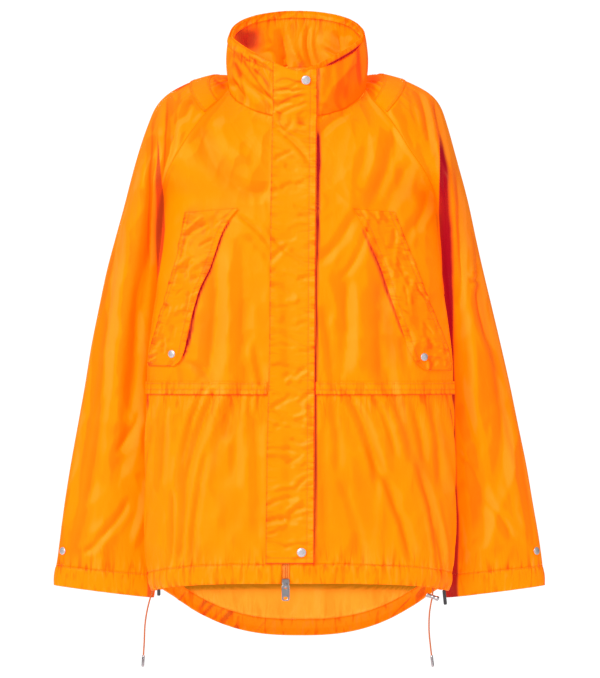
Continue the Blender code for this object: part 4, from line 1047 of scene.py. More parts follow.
# Beside each armhole, by depth below the neck: the shadow's outer edge, its strength, its inner edge, its fade.
GAP_EDGES = {
    Side.LEFT: (((0.0815, 0.136, 0.235, 0.300, 0.395, 0.500, 0.600, 0.720),
                 (0.1992, 0.1996, 0.1996, 0.1998, 0.2135, 0.2155, 0.2160, 0.2150)),
                ((0.055, 0.075, 0.100, 0.270, 0.290, 0.310, 0.395, 0.500, 0.600, 0.720),
                 (0, 0.45, 0.72, 0.72, 0.60, 0.30, 0.35, 0.40, 0.55, 0.60)),
                ((0.0815, 0.118, 0.164, 0.210, 0.240, 0.270, 0.289, 0.296, 0.297),
                 (0.1970, 0.1922, 0.1886, 0.1876, 0.1906, 0.1942, 0.1990, 0.2000, 0.10)),
                ((0.1, 0.3), (0.0030, 0.0026))),
    Side.RIGHT: (((0.075, 0.094, 0.118, 0.149, 0.210, 0.270, 0.343, 0.387, 0.430, 0.500, 0.580, 0.640, 0.720),
                  (0.1990, 0.2030, 0.2068, 0.2088, 0.2140, 0.2158, 0.2148, 0.2155, 0.2165, 0.2185, 0.2215, 0.2225,
                   0.2225)),
                 ((0.070, 0.085, 0.100, 0.387, 0.430, 0.550, 0.620, 0.720),
                  (0, 0.60, 1.0, 1.0, 0.90, 0.85, 0.95, 0.95)),
                 ((0.075, 0.094, 0.149, 0.210, 0.270, 0.300, 0.301),
                  (0.1945, 0.1916, 0.1914, 0.1932, 0.1968, 0.2000, 0.10)),
                 ((0.250, 0.320), (0.0060, 0.0030))),
}

BACK_COLLAR_FOLDS = FoldSet((
    (-70, 70, -50, 20, 4, 7, -2), (-20, 78, -14, 24, 3, 8, 1.8), (30, 76, 36, 26, 3, 6, -2),
    (66, 66, 56, 20, 3, 6, -1.6, T),
))


class Cloth:
    """One cut piece as a grid of points, which folds push out and in."""

    def __init__(self, name: str, rows: Sequence[Sequence[Vector]], core: Vector) -> None:
        """Keep the piece's form.

        Args:
            name: The piece's name.
            rows: Its outer points, row by row.
            core: A place that the piece curves round.
        """
        self.name = name
        self.points = np.array([[tuple(point) for point in row] for row in rows])
        self.core = np.array(core)
        self.closed = float(np.abs(self.points[:, 0] - self.points[:, -1]).max()) < 1e-5
        self.normals = self.find_normals()
        self.base = self.points.copy()
        # Painted shade and highlight, painted deep shade, and the painted shadow under the front hem, one value for
        # each point.
        self.shade = np.zeros(self.points.shape[:2])
        self.deep = np.zeros(self.points.shape[:2])
        self.lee = np.zeros(self.points.shape[:2])
        self.ticks = [np.zeros(self.points.shape[:2]), np.zeros(self.points.shape[:2])]

    @property
    def x(self) -> np.ndarray:
        """Each point's place across, before the folds."""
        return self.base[..., 0]

    @property
    def y(self) -> np.ndarray:
        """Each point's place from front to back, before the folds."""
        return self.base[..., 1]

    @property
    def z(self) -> np.ndarray:
        """Each point's height, before the folds."""
        return self.base[..., 2]

    def find_normals(self) -> np.ndarray:
        """The way out of the cloth at each point."""
        across = np.gradient(self.points, axis=1)
        down = np.gradient(self.points, axis=0)
        normals = np.cross(across, down)
        size = np.linalg.norm(normals, axis=2, keepdims=True)
        normals = normals / np.maximum(size, 1e-12)
        outward = (normals * (self.points - self.core)).sum()
        return normals if outward > 0 else -normals

    def push(self, height: np.ndarray, red: float = 1.0) -> None:
        """Move the cloth out by a height at each point, and shade its hollows.

        Args:
            height: One height for each point, in metres.
            red: How strongly the hollows are shaded.
        """
        self.points += self.normals * height[..., None]
        self.shade += 0.5 * np.clip(-height / 0.003, 0, 1) * red

    def facing(self) -> tuple[np.ndarray, np.ndarray]:
        """How far each point faces the front, and the back, from 0 to 1."""
        y = self.normals[..., 1]
        return smooth((-y - 0.02) / 0.4), smooth((y - 0.02) / 0.4)

    def lay_folds(self, scale: "np.ndarray | float" = 1.0, tint: float = 1.0, front: FoldSet = FRONT_FOLDS,
                  back: FoldSet = BACK_FOLDS) -> None:
        """Push folds into the piece, and crumple it lightly.

        Args:
            scale: How strongly, for the whole piece or at each point.
            tint: How strongly the folds' slopes are shaded.
            front: The folds where the piece faces the front.
            back: The folds where it faces the back.
        """
        x, z = self.x, self.z
        to_front, to_back = self.facing()
        height = 1.25 * (front.height(x, z) * to_front + back.height(x, z) * to_back)
        for turned, weight in ((0.0, to_front), (0.7, to_back)):
            place = x + turned
            uneven = 0.55 + 0.45 * noise_plane(place, z, 0.11, 8)
            broad = 0.0068 * (facets(place, z, 0.055, 0.120, 11) - 0.35) * uneven
            small = 0.0020 * (facets(place, z, 0.022, 0.040, 17) - 0.35) * (1.2 - uneven)
            height += (broad + small) * weight
        self.push(height * scale, 0.4)
        self.shade_slopes(height * scale, tint)

    def shade_slopes(self, height: np.ndarray, tint: float = 1.0) -> None:
        """Paint shade on the slopes that face right or down, which the light from the left leaves deeper, and paint
        highlight on those that face it.

        Args:
            height: How far the folds stand out at each point.
            tint: How strongly.
        """
        slopes = []
        for axis, place in ((1, self.x), (0, self.z)):
            step = np.gradient(place, axis=axis)
            step = np.where(np.abs(step) < 0.0006, 0.0006 * np.sign(step + 1e-9), step)
            slopes.append(np.gradient(height, axis=axis) / step)
        facing = (-0.55 * slopes[0] + 0.35 * slopes[1]) * np.sign(-self.normals[..., 1])
        padded = np.pad(facing, 1, mode="edge")
        facing = (padded[:-2, 1:-1] + padded[2:, 1:-1] + padded[1:-1, :-2] + padded[1:-1, 2:] + facing * 2) / 6
        facing *= smooth((np.abs(self.normals[..., 1]) - 0.08) / 0.35)
        self.shade += tint * (0.29 * smooth((facing - 0.014) / 0.060) - 0.46 * smooth((-facing - 0.032) / 0.10))

    def deepen(self, mask: np.ndarray) -> None:
        """Mark where the cloth lies in deep shade, from 0 to 1 at each point."""
        self.deep = np.maximum(self.deep, mask)

    def even_out(self, middle: int, reach: int, passes: int) -> None:
        """Ease the form along its columns near a row, away from its first and last columns.

        Args:
            middle: The row.
            reach: How many rows either side are eased.
            passes: How many times.
        """
        rows = np.arange(self.points.shape[0])[:, None, None]
        share = np.linspace(0, 1, self.points.shape[1])[None, :, None]
        weight = smooth(1 - np.abs(rows - middle) / reach) * smooth(np.minimum(share, 1 - share) / 0.10)
        for _ in range(passes):
            eased = self.points.copy()
            eased[1:-1] = (self.points[:-2] + self.points[1:-1] + self.points[2:]) / 3
            self.points += (eased - self.points) * weight
        self.base = self.points.copy()
        self.normals = self.find_normals()

    def spacing(self, axis: int) -> np.ndarray:
        """The distance of each point from the start of its line along an axis, in metres.

        Args:
            axis: 0 down the rows, 1 along a row.

        Returns:
            One distance for each point.
        """
        step = np.linalg.norm(np.diff(self.base, axis=axis), axis=2)
        pad = [(0, 0), (0, 0)]
        pad[axis] = (1, 0)
        return np.cumsum(np.pad(step, pad), axis=axis)

    def inward(self, edge: Edge) -> np.ndarray:
        """The distance of each point in from an edge, in metres.

        Args:
            edge: Which edge.

        Returns:
            One distance for each point.
        """
        axis, far = edge.value
        inward = self.spacing(axis)
        return np.take(inward, [-1], axis=axis) - inward if far else inward

    def pucker(self, edge: Edge, depth: float, cell: float, reach: float, seed: int,
               slant: float = 0.0, offset: float = 0.0) -> None:
        """Pucker the cloth along one of its edges.

        Args:
            edge: Which edge.
            depth: How deep the puckers are, in metres.
            cell: Their spacing, in metres.
            reach: How far they run into the cloth, in metres.
            seed: Which puckers.
            slant: How far they lean, as metres along for each metre in.
            offset: How far in from the edge the line lies, in metres.
        """
        axis = edge.value[0]
        inward = np.abs(self.inward(edge) - offset)
        line = self.x if axis == 0 else self.z
        place = line + slant * inward
        wave = noise_line(place, cell, seed) * 0.7 + noise_line(place, cell * 0.45, seed + 1) * 0.4
        near = np.exp(-inward / reach)
        self.push(depth * wave * near, 0.5)
        # Mark the puckers for the material's bump, its painted crease shade and its painted ridge highlight.
        self.ticks[axis] = np.maximum(self.ticks[axis], near * min(depth / 0.0010, 1.2))

    def groove(self, edge: Edge, offset: float, depth: float, width: float = 0.0011) -> None:
        """Press a line of sewing into the cloth, at a distance in from an edge.

        Args:
            edge: Which edge.
            offset: How far in, in metres.
            depth: How deep, in metres.
            width: Half the width, in metres.
        """
        off = (self.inward(edge) - offset) / width
        self.push(-depth * np.exp(-off * off), 0.0)
        # Painted shade along the pressed line.
        self.shade += 0.13 * np.exp(-off * off)

    def line_edges(self, *edges: Edge, strength: float = 0.55, width: float = 0.0013, deep: float = 0.0) -> None:
        """Shade a thin line along some of the piece's edges.

        Args:
            edges: Which edges.
            strength: How strongly.
            width: Half the width, in metres.
            deep: How deep the shade is, 0 to 1.
        """
        for edge in edges:
            line = np.exp(-((self.inward(edge) / width) ** 2))
            self.shade += strength * line
            self.deepen(deep * line)

    def roll(self, height: float) -> None:
        """Swell the piece between its top and bottom rows, as a casing with a cord in it."""
        share = np.linspace(0, 1, self.points.shape[0])[:, None]
        self.push(height * np.sin(np.pi * share) * np.ones(self.points.shape[:2]))

    def sewing(self, edge: Edge, offset: float, lift: float = 0.00025) -> list[Vector]:
        """A path on the cloth at a distance in from an edge.

        Args:
            edge: Which edge.
            offset: How far in from the edge, in metres.
            lift: How far it stands off the cloth, in metres.

        Returns:
            The path's points.
        """
        axis, far = edge.value
        inward = self.inward(edge)
        raised = self.points + self.find_normals() * lift
        path = []
        for k in range(inward.shape[1 - axis]):
            distance = inward[:, k] if axis == 0 else inward[k]
            line = raised[:, k] if axis == 0 else raised[k]
            if far:
                distance, line = distance[::-1], line[::-1]
            path.append(Vector([float(np.interp(offset, distance, line[:, i])) for i in range(3)]))
        return path

    def mesh(self) -> bpy.types.Mesh:
        """Make the grid a mesh, with its shade kept as an attribute."""
        rows, columns = self.points.shape[:2]
        span = columns - 1 if self.closed else columns
        grid = self.points[:, :span].reshape(-1, 3)
        index = np.arange(rows * span).reshape(rows, span)
        if self.closed:
            index = np.hstack([index, index[:, :1]])
        faces = np.stack([index[:-1, :-1], index[1:, :-1], index[1:, 1:], index[:-1, 1:]], axis=-1).reshape(-1, 4)
        a, b, c, d = (grid[faces[:, i]] for i in range(4))
        ways = np.cross(c - a, d - b)
        if (ways * (a - self.core)).sum() < 0:
            faces = faces[:, ::-1]
        mesh = bpy.data.meshes.new(self.name)
        mesh.from_pydata(grid.tolist(), [], faces.tolist())
        for name, values in (("shade", self.shade), ("deep", self.deep), ("lee", self.lee),
                             ("ticks_up", self.ticks[0]), ("ticks_across", self.ticks[1])):
            # Stored shade below NEUTRAL is painted highlight, and above it painted shade.
            if name == "shade":
                values = NEUTRAL + np.where(values > 0, (1 - NEUTRAL) * values, NEUTRAL * values)
            mark = mesh.attributes.new(name, "FLOAT", "POINT")
            mark.data.foreach_set("value", np.clip(values[:, :span], 0, 1).ravel().astype(np.float32))
        mesh.shade_smooth()
        return mesh


# ---------------------------------------------------------------- finishes

class Socket:
    """One output or number in a material, which adds Math nodes when it is calculated with."""

    def __init__(self, shader: "Shader", value: "bpy.types.NodeSocket | float") -> None:
        """Wrap an output or a number of a shader."""
        self.shader = shader
        self.value = value

    def math(self, operation: str, other: "Socket | float", swap: bool = False) -> "Socket":
        """Add one Math node for an operation on this value and another.

        Args:
            operation: The node's operation.
            other: The other value.
            swap: Whether the other value comes first.

        Returns:
            The result.
        """
        first, second = (other, self) if swap else (self, other)
        node = self.shader.node("ShaderNodeMath", {"operation": operation}, {0: first, 1: second})
        return Socket(self.shader, node.outputs[0])

    def __add__(self, other: "Socket | float") -> "Socket":
        """This plus another."""
        return self.math("ADD", other)

    def __mul__(self, other: "Socket | float") -> "Socket":
        """This times another."""
        return self.math("MULTIPLY", other)

    def __sub__(self, other: "Socket | float") -> "Socket":
        """This less another."""
        return self.math("SUBTRACT", other)

    def __rsub__(self, other: "Socket | float") -> "Socket":
        """Another less this."""
        return self.math("SUBTRACT", other, swap=True)

    def within(self) -> "Socket":
        """This, held between 0 and 1."""
        node = self.shader.node("ShaderNodeClamp", {}, {"Value": self})
        return Socket(self.shader, node.outputs[0])

    __radd__ = __add__
    __rmul__ = __mul__


class Shader:
    """A material under construction."""

    def __init__(self, name: str) -> None:
        """Start a material with its Principled shader.

        Args:
            name: The material's name.
        """
        self.material = bpy.data.materials.new(name)
        self.material.use_nodes = True
        self.tree = self.material.node_tree
        self.principled = self.tree.nodes["Principled BSDF"]

    def node(self, kind: str, settings: dict | None = None, sockets: dict | None = None) -> bpy.types.Node:
        """Add a node.

        Args:
            kind: The node's type.
            settings: Its settings, such as a ramp's stops, which are set first.
            sockets: The values or links of its sockets, by name or number.

        Returns:
            The node.
        """
        node = self.tree.nodes.new(kind)
        for key, value in (settings or {}).items():
            if key == "stops":
                ramp_stops = node.color_ramp.elements
                for element, (position, colour) in zip(ramp_stops, value):
                    element.position, element.color = position, colour
            else:
                setattr(node, key, value)
        for key, value in (sockets or {}).items():
            self.feed(node.inputs[key], value)
        return node

    def feed(self, target: bpy.types.NodeSocket, value: "Socket | float | tuple") -> None:
        """Set a socket's value, or link it to a wrapped output.

        Args:
            target: The socket.
            value: The value or the output.
        """
        value = value.value if isinstance(value, Socket) else value
        if isinstance(value, bpy.types.NodeSocket):
            self.tree.links.new(value, target)
        else:
            target.default_value = value

    def place(self) -> bpy.types.NodeSocket:
        """The object's own coordinates."""
        return self.node("ShaderNodeTexCoord").outputs["Object"]

    def noise(self, scale: float, detail: float = 2.0, roughness: float = 0.5) -> Socket:
        """Noise on the object's own coordinates, from 0 to 1.

        Args:
            scale: How fine it is.
            detail: How many layers it has.
            roughness: How strong the fine layers are.

        Returns:
            The noise.
        """
        node = self.node("ShaderNodeTexNoise", {}, {"Vector": self.place(), "Scale": scale, "Detail": detail,
                                                    "Roughness": roughness})
        return Socket(self, node.outputs["Fac"])

    def attribute(self, name: str) -> Socket:
        """A number kept on the mesh."""
        return Socket(self, self.node("ShaderNodeAttribute", {"attribute_name": name}).outputs["Fac"])

    def streaks(self, scale: tuple[float, float, float], lean: float, detail: float = 1.0) -> Socket:
        """Streaks on the object's own coordinates, long where the scale is small, from 0 to 1.

        Args:
            scale: How fine they are along each axis.
            lean: How far they turn, in radians.
            detail: How many layers they have.

        Returns:
            The streaks.
        """
        turned_place = self.node("ShaderNodeMapping", {}, {"Vector": self.place(), "Scale": scale,
                                                           "Rotation": (0.0, lean, 0.0)})
        node = self.node("ShaderNodeTexNoise", {}, {"Scale": 1.0, "Detail": detail, "Roughness": 0.5,
                                                    "Distortion": 0.6})
        self.feed(node.inputs["Vector"], turned_place.outputs["Vector"])
        return Socket(self, node.outputs["Fac"])

    def mix(self, factor: "Socket | float", low: "Socket | tuple", high: "Socket | tuple") -> Socket:
        """Mix two colours by a factor.

        Args:
            factor: From 0 for the low one to 1 for the high one.
            low: The first colour.
            high: The second colour.

        Returns:
            The colour.
        """
        node = self.node("ShaderNodeMix", {"data_type": "RGBA", "clamp_factor": True})
        self.feed(node.inputs["Factor"], factor)
        self.feed(node.inputs[6], low)
        self.feed(node.inputs[7], high)
        return Socket(self, node.outputs[2])

    def bump(self, height: Socket, distance: float, strength: float = 1.0) -> None:
        """Feed a height to the shader's normal."""
        node = self.node("ShaderNodeBump", {}, {"Height": height, "Distance": distance, "Strength": strength})
        self.feed(self.principled.inputs["Normal"], node.outputs["Normal"])

    def dress(self, **sockets: "Socket | float | tuple") -> bpy.types.Material:
        """Feed the Principled shader's sockets, named with underscores for spaces."""
        for key, value in sockets.items():
            self.feed(self.principled.inputs[key.replace("_", " ")], value)
        return self.material


def rgb(red: float, green: float, blue: float) -> tuple[float, float, float, float]:
    """A colour with its alpha."""
    return red, green, blue, 1.0


@dataclass(frozen=True)
class Nylon:
    """Light coated nylon: satin, crisply crinkled, with painted highlight, painted shade and painted deep shade from
    the cloth's marks, and a painted glow.
    """

    name: str
    # The lit colour, then the painted highlight, shade and deep-shade colours, then the painted glow in the same
    # tones.
    lit: tuple[float, float, float] = (0.95, 0.150, 0.0)
    painted_highlight: tuple[float, float, float] = (1.0, 0.205, 0.018)
    shaded: tuple[float, float, float] = (0.93, 0.034, 0.001)
    painted_deep_shade: tuple[float, float, float] = (0.14, 0.001, 0.006)
    painted_glow: tuple[float, float, float] = (1.0, 0.300, 0.0)
    painted_highlight_glow: tuple[float, float, float] = (1.0, 0.350, 0.030)
    painted_shaded_glow: tuple[float, float, float] = (0.95, 0.070, 0.002)
    painted_deep_shade_glow: tuple[float, float, float] = (0.66, 0.001, 0.022)
    painted_glow_strength: float = 0.42
    roughness: float = 0.46
    deep_shade_mark: str = "deep"

    def build(self) -> bpy.types.Material:
        """Make the material."""
        shader = Shader(self.name)
        shade, deep = shader.attribute("shade"), shader.attribute(self.deep_shade_mark)
        up, across = shader.attribute("ticks_up"), shader.attribute("ticks_across")
        patches = shader.noise(14.0, 1.0)
        upright = shader.streaks((150.0, 150.0, 26.0), 0.30)
        level = shader.streaks((34.0, 34.0, 150.0), -0.35)
        # Painted shade along the puckers' creases.
        crease_shade = up * ((0.47 - upright) * 8.0).within() + across * ((0.47 - level) * 8.0).within()
        # Painted highlight on the puckers' ridges.
        ridge_highlight = up * ((upright - 0.55) * 6.0).within() + across * ((level - 0.55) * 6.0).within()
        darker = (shade - NEUTRAL) * (1 / (1 - NEUTRAL))
        # How far the colour turns to the painted shaded colour: painted shade and crease shade, with random darker
        # patches.
        tone = (darker.within() * 0.85 + crease_shade * 0.5 + ((patches - 0.53) * 3.0).within() * 0.12).within()
        # How far the colour turns to the painted highlight colour.
        lift = ((NEUTRAL - shade) * (1 / NEUTRAL) + ridge_highlight * 0.6).within()
        colour = shader.mix(lift, rgb(*self.lit), rgb(*self.painted_highlight))
        colour = shader.mix(tone, colour, rgb(*self.shaded))
        # Painted deep shade where the deep-shade mark is set.
        colour = shader.mix(deep, colour, rgb(*self.painted_deep_shade))
        # Painted glow in the same lit, highlight, shaded and deep-shade tones, emitted to lift the shade.
        painted_glow = shader.mix(lift, rgb(*self.painted_glow), rgb(*self.painted_highlight_glow))
        painted_glow = shader.mix(tone, painted_glow, rgb(*self.painted_shaded_glow))
        painted_glow = shader.mix(deep, painted_glow, rgb(*self.painted_deep_shade_glow))
        crinkles = shader.streaks((60.0, 60.0, 34.0), 0.5, 2.0)
        weave = shader.noise(1700.0, 1.0)
        height = up * upright * 0.0030 + across * level * 0.0030 + crinkles * 0.0009 + weave * 0.00002
        shader.bump(height, 1.0)
        return shader.dress(Base_Color=colour, Roughness=patches * 0.12 + (self.roughness - 0.06),
                            Specular_IOR_Level=0.22, Specular_Tint=rgb(1.0, 0.66, 0.16),
                            Emission_Color=painted_glow, Emission_Strength=self.painted_glow_strength)


@dataclass(frozen=True)
class Metal:
    """Polished or satin metal with faint smudges."""

    name: str
    colour: tuple[float, float, float]
    roughness: float = 0.25
    metallic: float = 1.0

    def build(self) -> bpy.types.Material:
        """Make the material."""
        shader = Shader(self.name)
        smudge = shader.noise(240.0, 3.0)
        darker = tuple(c * 0.82 for c in self.colour)
        colour = shader.mix(smudge, rgb(*self.colour), rgb(*darker))
        shader.bump(shader.noise(900.0, 2.0), 0.00004)
        return shader.dress(Base_Color=colour, Metallic=self.metallic,
                            Roughness=smudge * 0.14 + (self.roughness - 0.07))


@dataclass(frozen=True)
class Thread:
    """Woven tape, cord or thread: matt, with a fine grain along it."""

    name: str
    colour: tuple[float, float, float]
    dark: tuple[float, float, float]
    grain: float = 700.0
    roughness: float = 0.75

    def build(self) -> bpy.types.Material:
        """Make the material."""
        shader = Shader(self.name)
        grain = shader.noise(self.grain, 2.0, 0.6)
        colour = shader.mix(grain, rgb(*self.colour), rgb(*self.dark))
        shader.bump(grain, 0.0002)
        return shader.dress(Base_Color=colour, Roughness=grain * 0.1 + (self.roughness - 0.05))


@dataclass
class Finishes:
    """Every finish on the jacket."""

    nylon: bpy.types.Material
    inside: bpy.types.Material
    rim: bpy.types.Material
    tape: bpy.types.Material
    teeth: bpy.types.Material
    nickel: bpy.types.Material
    snap: bpy.types.Material
    tip: bpy.types.Material
    cord: bpy.types.Material
    stitch: bpy.types.Material
    rubber: bpy.types.Material

    @classmethod
    def build(cls) -> "Finishes":
        """Make every material."""
        return cls(
            nylon=Nylon("orange_nylon_shell").build(),
            # The inside: paler colours and a painted glow lift the enclosed cloth, and its painted deep-shade colours
            # paint the shadow under the front hem.
            inside=Nylon("orange_nylon_inside", lit=(1.0, 0.44, 0.035), painted_highlight=(1.0, 0.52, 0.07),
                         shaded=(1.0, 0.24, 0.01), painted_glow=(1.0, 0.42, 0.03), painted_highlight_glow=(1.0, 0.46, 0.05),
                         painted_shaded_glow=(1.0, 0.30, 0.01), painted_deep_shade=(0.16, 0.075, 0.0),
                         painted_deep_shade_glow=(0.42, 0.200, 0.0), painted_glow_strength=0.34, deep_shade_mark="lee").build(),
            rim=Nylon("orange_nylon_facing", lit=(1.0, 0.25, 0.004), painted_glow=(1.0, 0.28, 0.0), painted_glow_strength=0.3).build(),
            tape=Thread("zip_tape_weave", (0.98, 0.33, 0.012), (0.86, 0.22, 0.006), 900.0, 0.6).build(),
            teeth=Thread("zip_teeth", (0.92, 0.36, 0.06), (0.80, 0.22, 0.02), 400.0, 0.45).build(),
            nickel=Metal("nickel_plate", (0.60, 0.58, 0.62), 0.3).build(),
            snap=Metal("pearl_nickel", (0.62, 0.58, 0.62), 0.42, 0.55).build(),
            tip=Metal("cord_tip_metal", (0.62, 0.55, 0.58), 0.32).build(),
            cord=Thread("drawcord_braid", (0.70, 0.16, 0.02), (0.42, 0.07, 0.01), 1300.0).build(),
            stitch=Thread("sewing_thread", (0.92, 0.19, 0.004), (0.84, 0.12, 0.002), 1500.0, 0.8).build(),
            rubber=Thread("black_elastic", (0.015, 0.014, 0.016), (0.05, 0.048, 0.055), 1100.0, 0.6).build(),
        )


# ---------------------------------------------------------------- making pieces

def link(name: str, data: bpy.types.ID) -> bpy.types.Object:
    """Put a mesh or a curve into the scene at the origin.

    Args:
        name: The object's name.
        data: The mesh, curve, camera or light.

    Returns:
        The object.
    """
    piece = bpy.data.objects.new(name, data)
    bpy.context.scene.collection.objects.link(piece)
    return piece


def count_faces(piece: bpy.types.Object) -> int:
    """The triangles that a piece has with its modifiers.

    Args:
        piece: The piece.

    Returns:
        How many.
    """
    mesh = piece.evaluated_get(bpy.context.evaluated_depsgraph_get()).to_mesh()
    mesh.calc_loop_triangles()
    return len(mesh.loop_triangles)


def report(piece: bpy.types.Object) -> bpy.types.Object:
    """Log a finished piece."""
    log.info("%-22s %7d triangles", piece.name, count_faces(piece))
    return piece


def stand_for(piece: bpy.types.Object, node: str, body: str = BODY) -> bpy.types.Object:
    """Make a piece stand for its solid.

    Args:
        piece: The piece.
        node: The solid that it replaces.
        body: The body that it rides on.

    Returns:
        The piece.
    """
    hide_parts(node)
    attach(piece, body)
    return piece


@dataclass(frozen=True)
class Cut:
    """The size that a piece of cloth is cut to: its greatest width and length in metres, and its area."""

    width: float
    length: float
    area: float


def wall(cloth: Cloth, thickness: float, materials: Sequence[bpy.types.Material]) -> bpy.types.Object:
    """Give a grid its wall, and make it stand for its solid.

    Args:
        cloth: The grid.
        thickness: The wall, in metres.
        materials: The outer face's material, and the inner face's where it differs.

    Returns:
        The piece.
    """
    mesh = cloth.mesh()
    for material in materials:
        mesh.materials.append(material)
    piece = link(f"{cloth.name}_cloth", mesh)
    solid = piece.modifiers.new("wall", "SOLIDIFY")
    solid.thickness = thickness
    solid.offset = -1.0
    solid.material_offset = 1 if len(materials) > 1 else 0
    stand_for(piece, cloth.name)
    return report(piece)


class Sewing:
    """Lines of stitches, made by Geometry Nodes along paths."""

    def __init__(self, material: bpy.types.Material) -> None:
        """Build the node tree that lays stitches.

        Args:
            material: The thread's material.
        """
        self.paths: list[list[Vector]] = []
        tree = bpy.data.node_groups.new("stitches_along_paths", "GeometryNodeTree")
        self.tree = tree
        tree.interface.new_socket("Paths", in_out="INPUT", socket_type="NodeSocketGeometry")
        self.ids = {}
        for name, value in (("Pitch", 0.0034), ("Stitch length", 0.0024), ("Thickness", 0.00055)):
            socket = tree.interface.new_socket(name, in_out="INPUT", socket_type="NodeSocketFloat")
            socket.default_value = value
            self.ids[name] = socket.identifier
        tree.interface.new_socket("Stitches", in_out="OUTPUT", socket_type="NodeSocketGeometry")
        make = tree.nodes.new
        source, result = make("NodeGroupInput"), make("NodeGroupOutput")
        curve = make("GeometryNodeMeshToCurve")
        even = make("GeometryNodeResampleCurve")
        even.mode = "LENGTH"
        bead = make("GeometryNodeMeshIcoSphere")
        bead.inputs["Radius"].default_value = 0.5
        bead.inputs["Subdivisions"].default_value = 1
        tangent = make("GeometryNodeInputTangent")
        align = make("FunctionNodeAlignRotationToVector")
        align.axis = "Z"
        size = make("ShaderNodeCombineXYZ")
        place = make("GeometryNodeInstanceOnPoints")
        real = make("GeometryNodeRealizeInstances")
        dress = make("GeometryNodeSetMaterial")
        dress.inputs["Material"].default_value = material
        join = tree.links.new
        join(source.outputs["Paths"], curve.inputs[0])
        join(curve.outputs[0], even.inputs["Curve"])
        join(source.outputs["Pitch"], even.inputs["Length"])
        join(even.outputs[0], place.inputs["Points"])
        join(bead.outputs["Mesh"], place.inputs["Instance"])
        join(tangent.outputs[0], align.inputs["Vector"])
        join(align.outputs[0], place.inputs["Rotation"])
        join(source.outputs["Thickness"], size.inputs["X"])
        join(source.outputs["Thickness"], size.inputs["Y"])
        join(source.outputs["Stitch length"], size.inputs["Z"])
        join(size.outputs[0], place.inputs["Scale"])
        join(place.outputs[0], real.inputs[0])
        join(real.outputs[0], dress.inputs["Geometry"])
        join(dress.outputs[0], result.inputs[0])

    def add(self, path: Sequence[Vector]) -> None:
        """Keep a path for the next line of stitches."""
        self.paths.append(list(path))

    def make(self, name: str, body: str, pitch: float, length: float, thickness: float,
             slot: str = "orange_nylon") -> bpy.types.Object:
        """Lay stitches along the kept paths.

        Args:
            name: The piece's name.
            body: The body that it rides on.
            pitch: From one stitch to the next, in metres.
            length: One stitch's length, in metres.
            thickness: The thread's thickness, in metres.
            slot: Not used.

        Returns:
            The piece.
        """
        verts, edges = [], []
        for path in self.paths:
            first = len(verts)
            verts += [tuple(point) for point in path]
            edges += [(i, i + 1) for i in range(first, len(verts) - 1)]
        mesh = bpy.data.meshes.new(f"{name}_paths")
        mesh.from_pydata(verts, edges, [])
        source = link(f"{name}_paths", mesh)
        modifier = source.modifiers.new("stitches", "NODES")
        modifier.node_group = self.tree
        for key, value in (("Pitch", pitch), ("Stitch length", length), ("Thickness", thickness)):
            modifier[self.ids[key]] = value
        bpy.context.view_layer.update()
        evaluated = source.evaluated_get(bpy.context.evaluated_depsgraph_get())
        result = bpy.data.meshes.new_from_object(evaluated)
        source.modifiers.remove(modifier)
        bpy.data.objects.remove(source, do_unlink=True)
        piece = link(name, result)
        result.shade_smooth()
        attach(piece, body)
        self.paths = []
        return report(piece)


def turned(name: str, profile: Sequence[tuple[float, float]], sides: int, base: Vector, axis: Vector,
           material: bpy.types.Material) -> bpy.types.Object:
    """Turn a profile about an axis.

    Args:
        name: The piece's name.
        profile: Pairs of radius and height, from the bottom to the top.
        sides: How many sides the turned shape has.
        base: The place of height 0.
        axis: The way up.
        material: The finish.

    Returns:
        The piece, at the origin with its place in its mesh.
    """
    bm = bmesh.new()
    loops = []
    for radius, height in profile:
        if radius == 0:
            loops.append([bm.verts.new((0, 0, height))])
        else:
            angles = [2 * math.pi * i / sides for i in range(sides)]
            loops.append([bm.verts.new((radius * math.cos(a), radius * math.sin(a), height)) for a in angles])
    for low, high in zip(loops, loops[1:]):
        for i in range(sides):
            j = (i + 1) % sides
            corners = [low[i % len(low)], low[j % len(low)], high[j % len(high)], high[i % len(high)]]
            bm.faces.new(list(dict.fromkeys(corners)))
    bmesh.ops.recalc_face_normals(bm, faces=bm.faces[:])
    turn = axis.to_track_quat("Z", "Y").to_matrix().to_4x4()
    turn.translation = base
    bmesh.ops.transform(bm, matrix=turn, verts=bm.verts[:])
    mesh = bpy.data.meshes.new(name)
    bm.to_mesh(mesh)
    bm.free()
    mesh.shade_smooth()
    mesh.materials.append(material)
    return link(name, mesh)


# ---------------------------------------------------------------- sub-assemblies

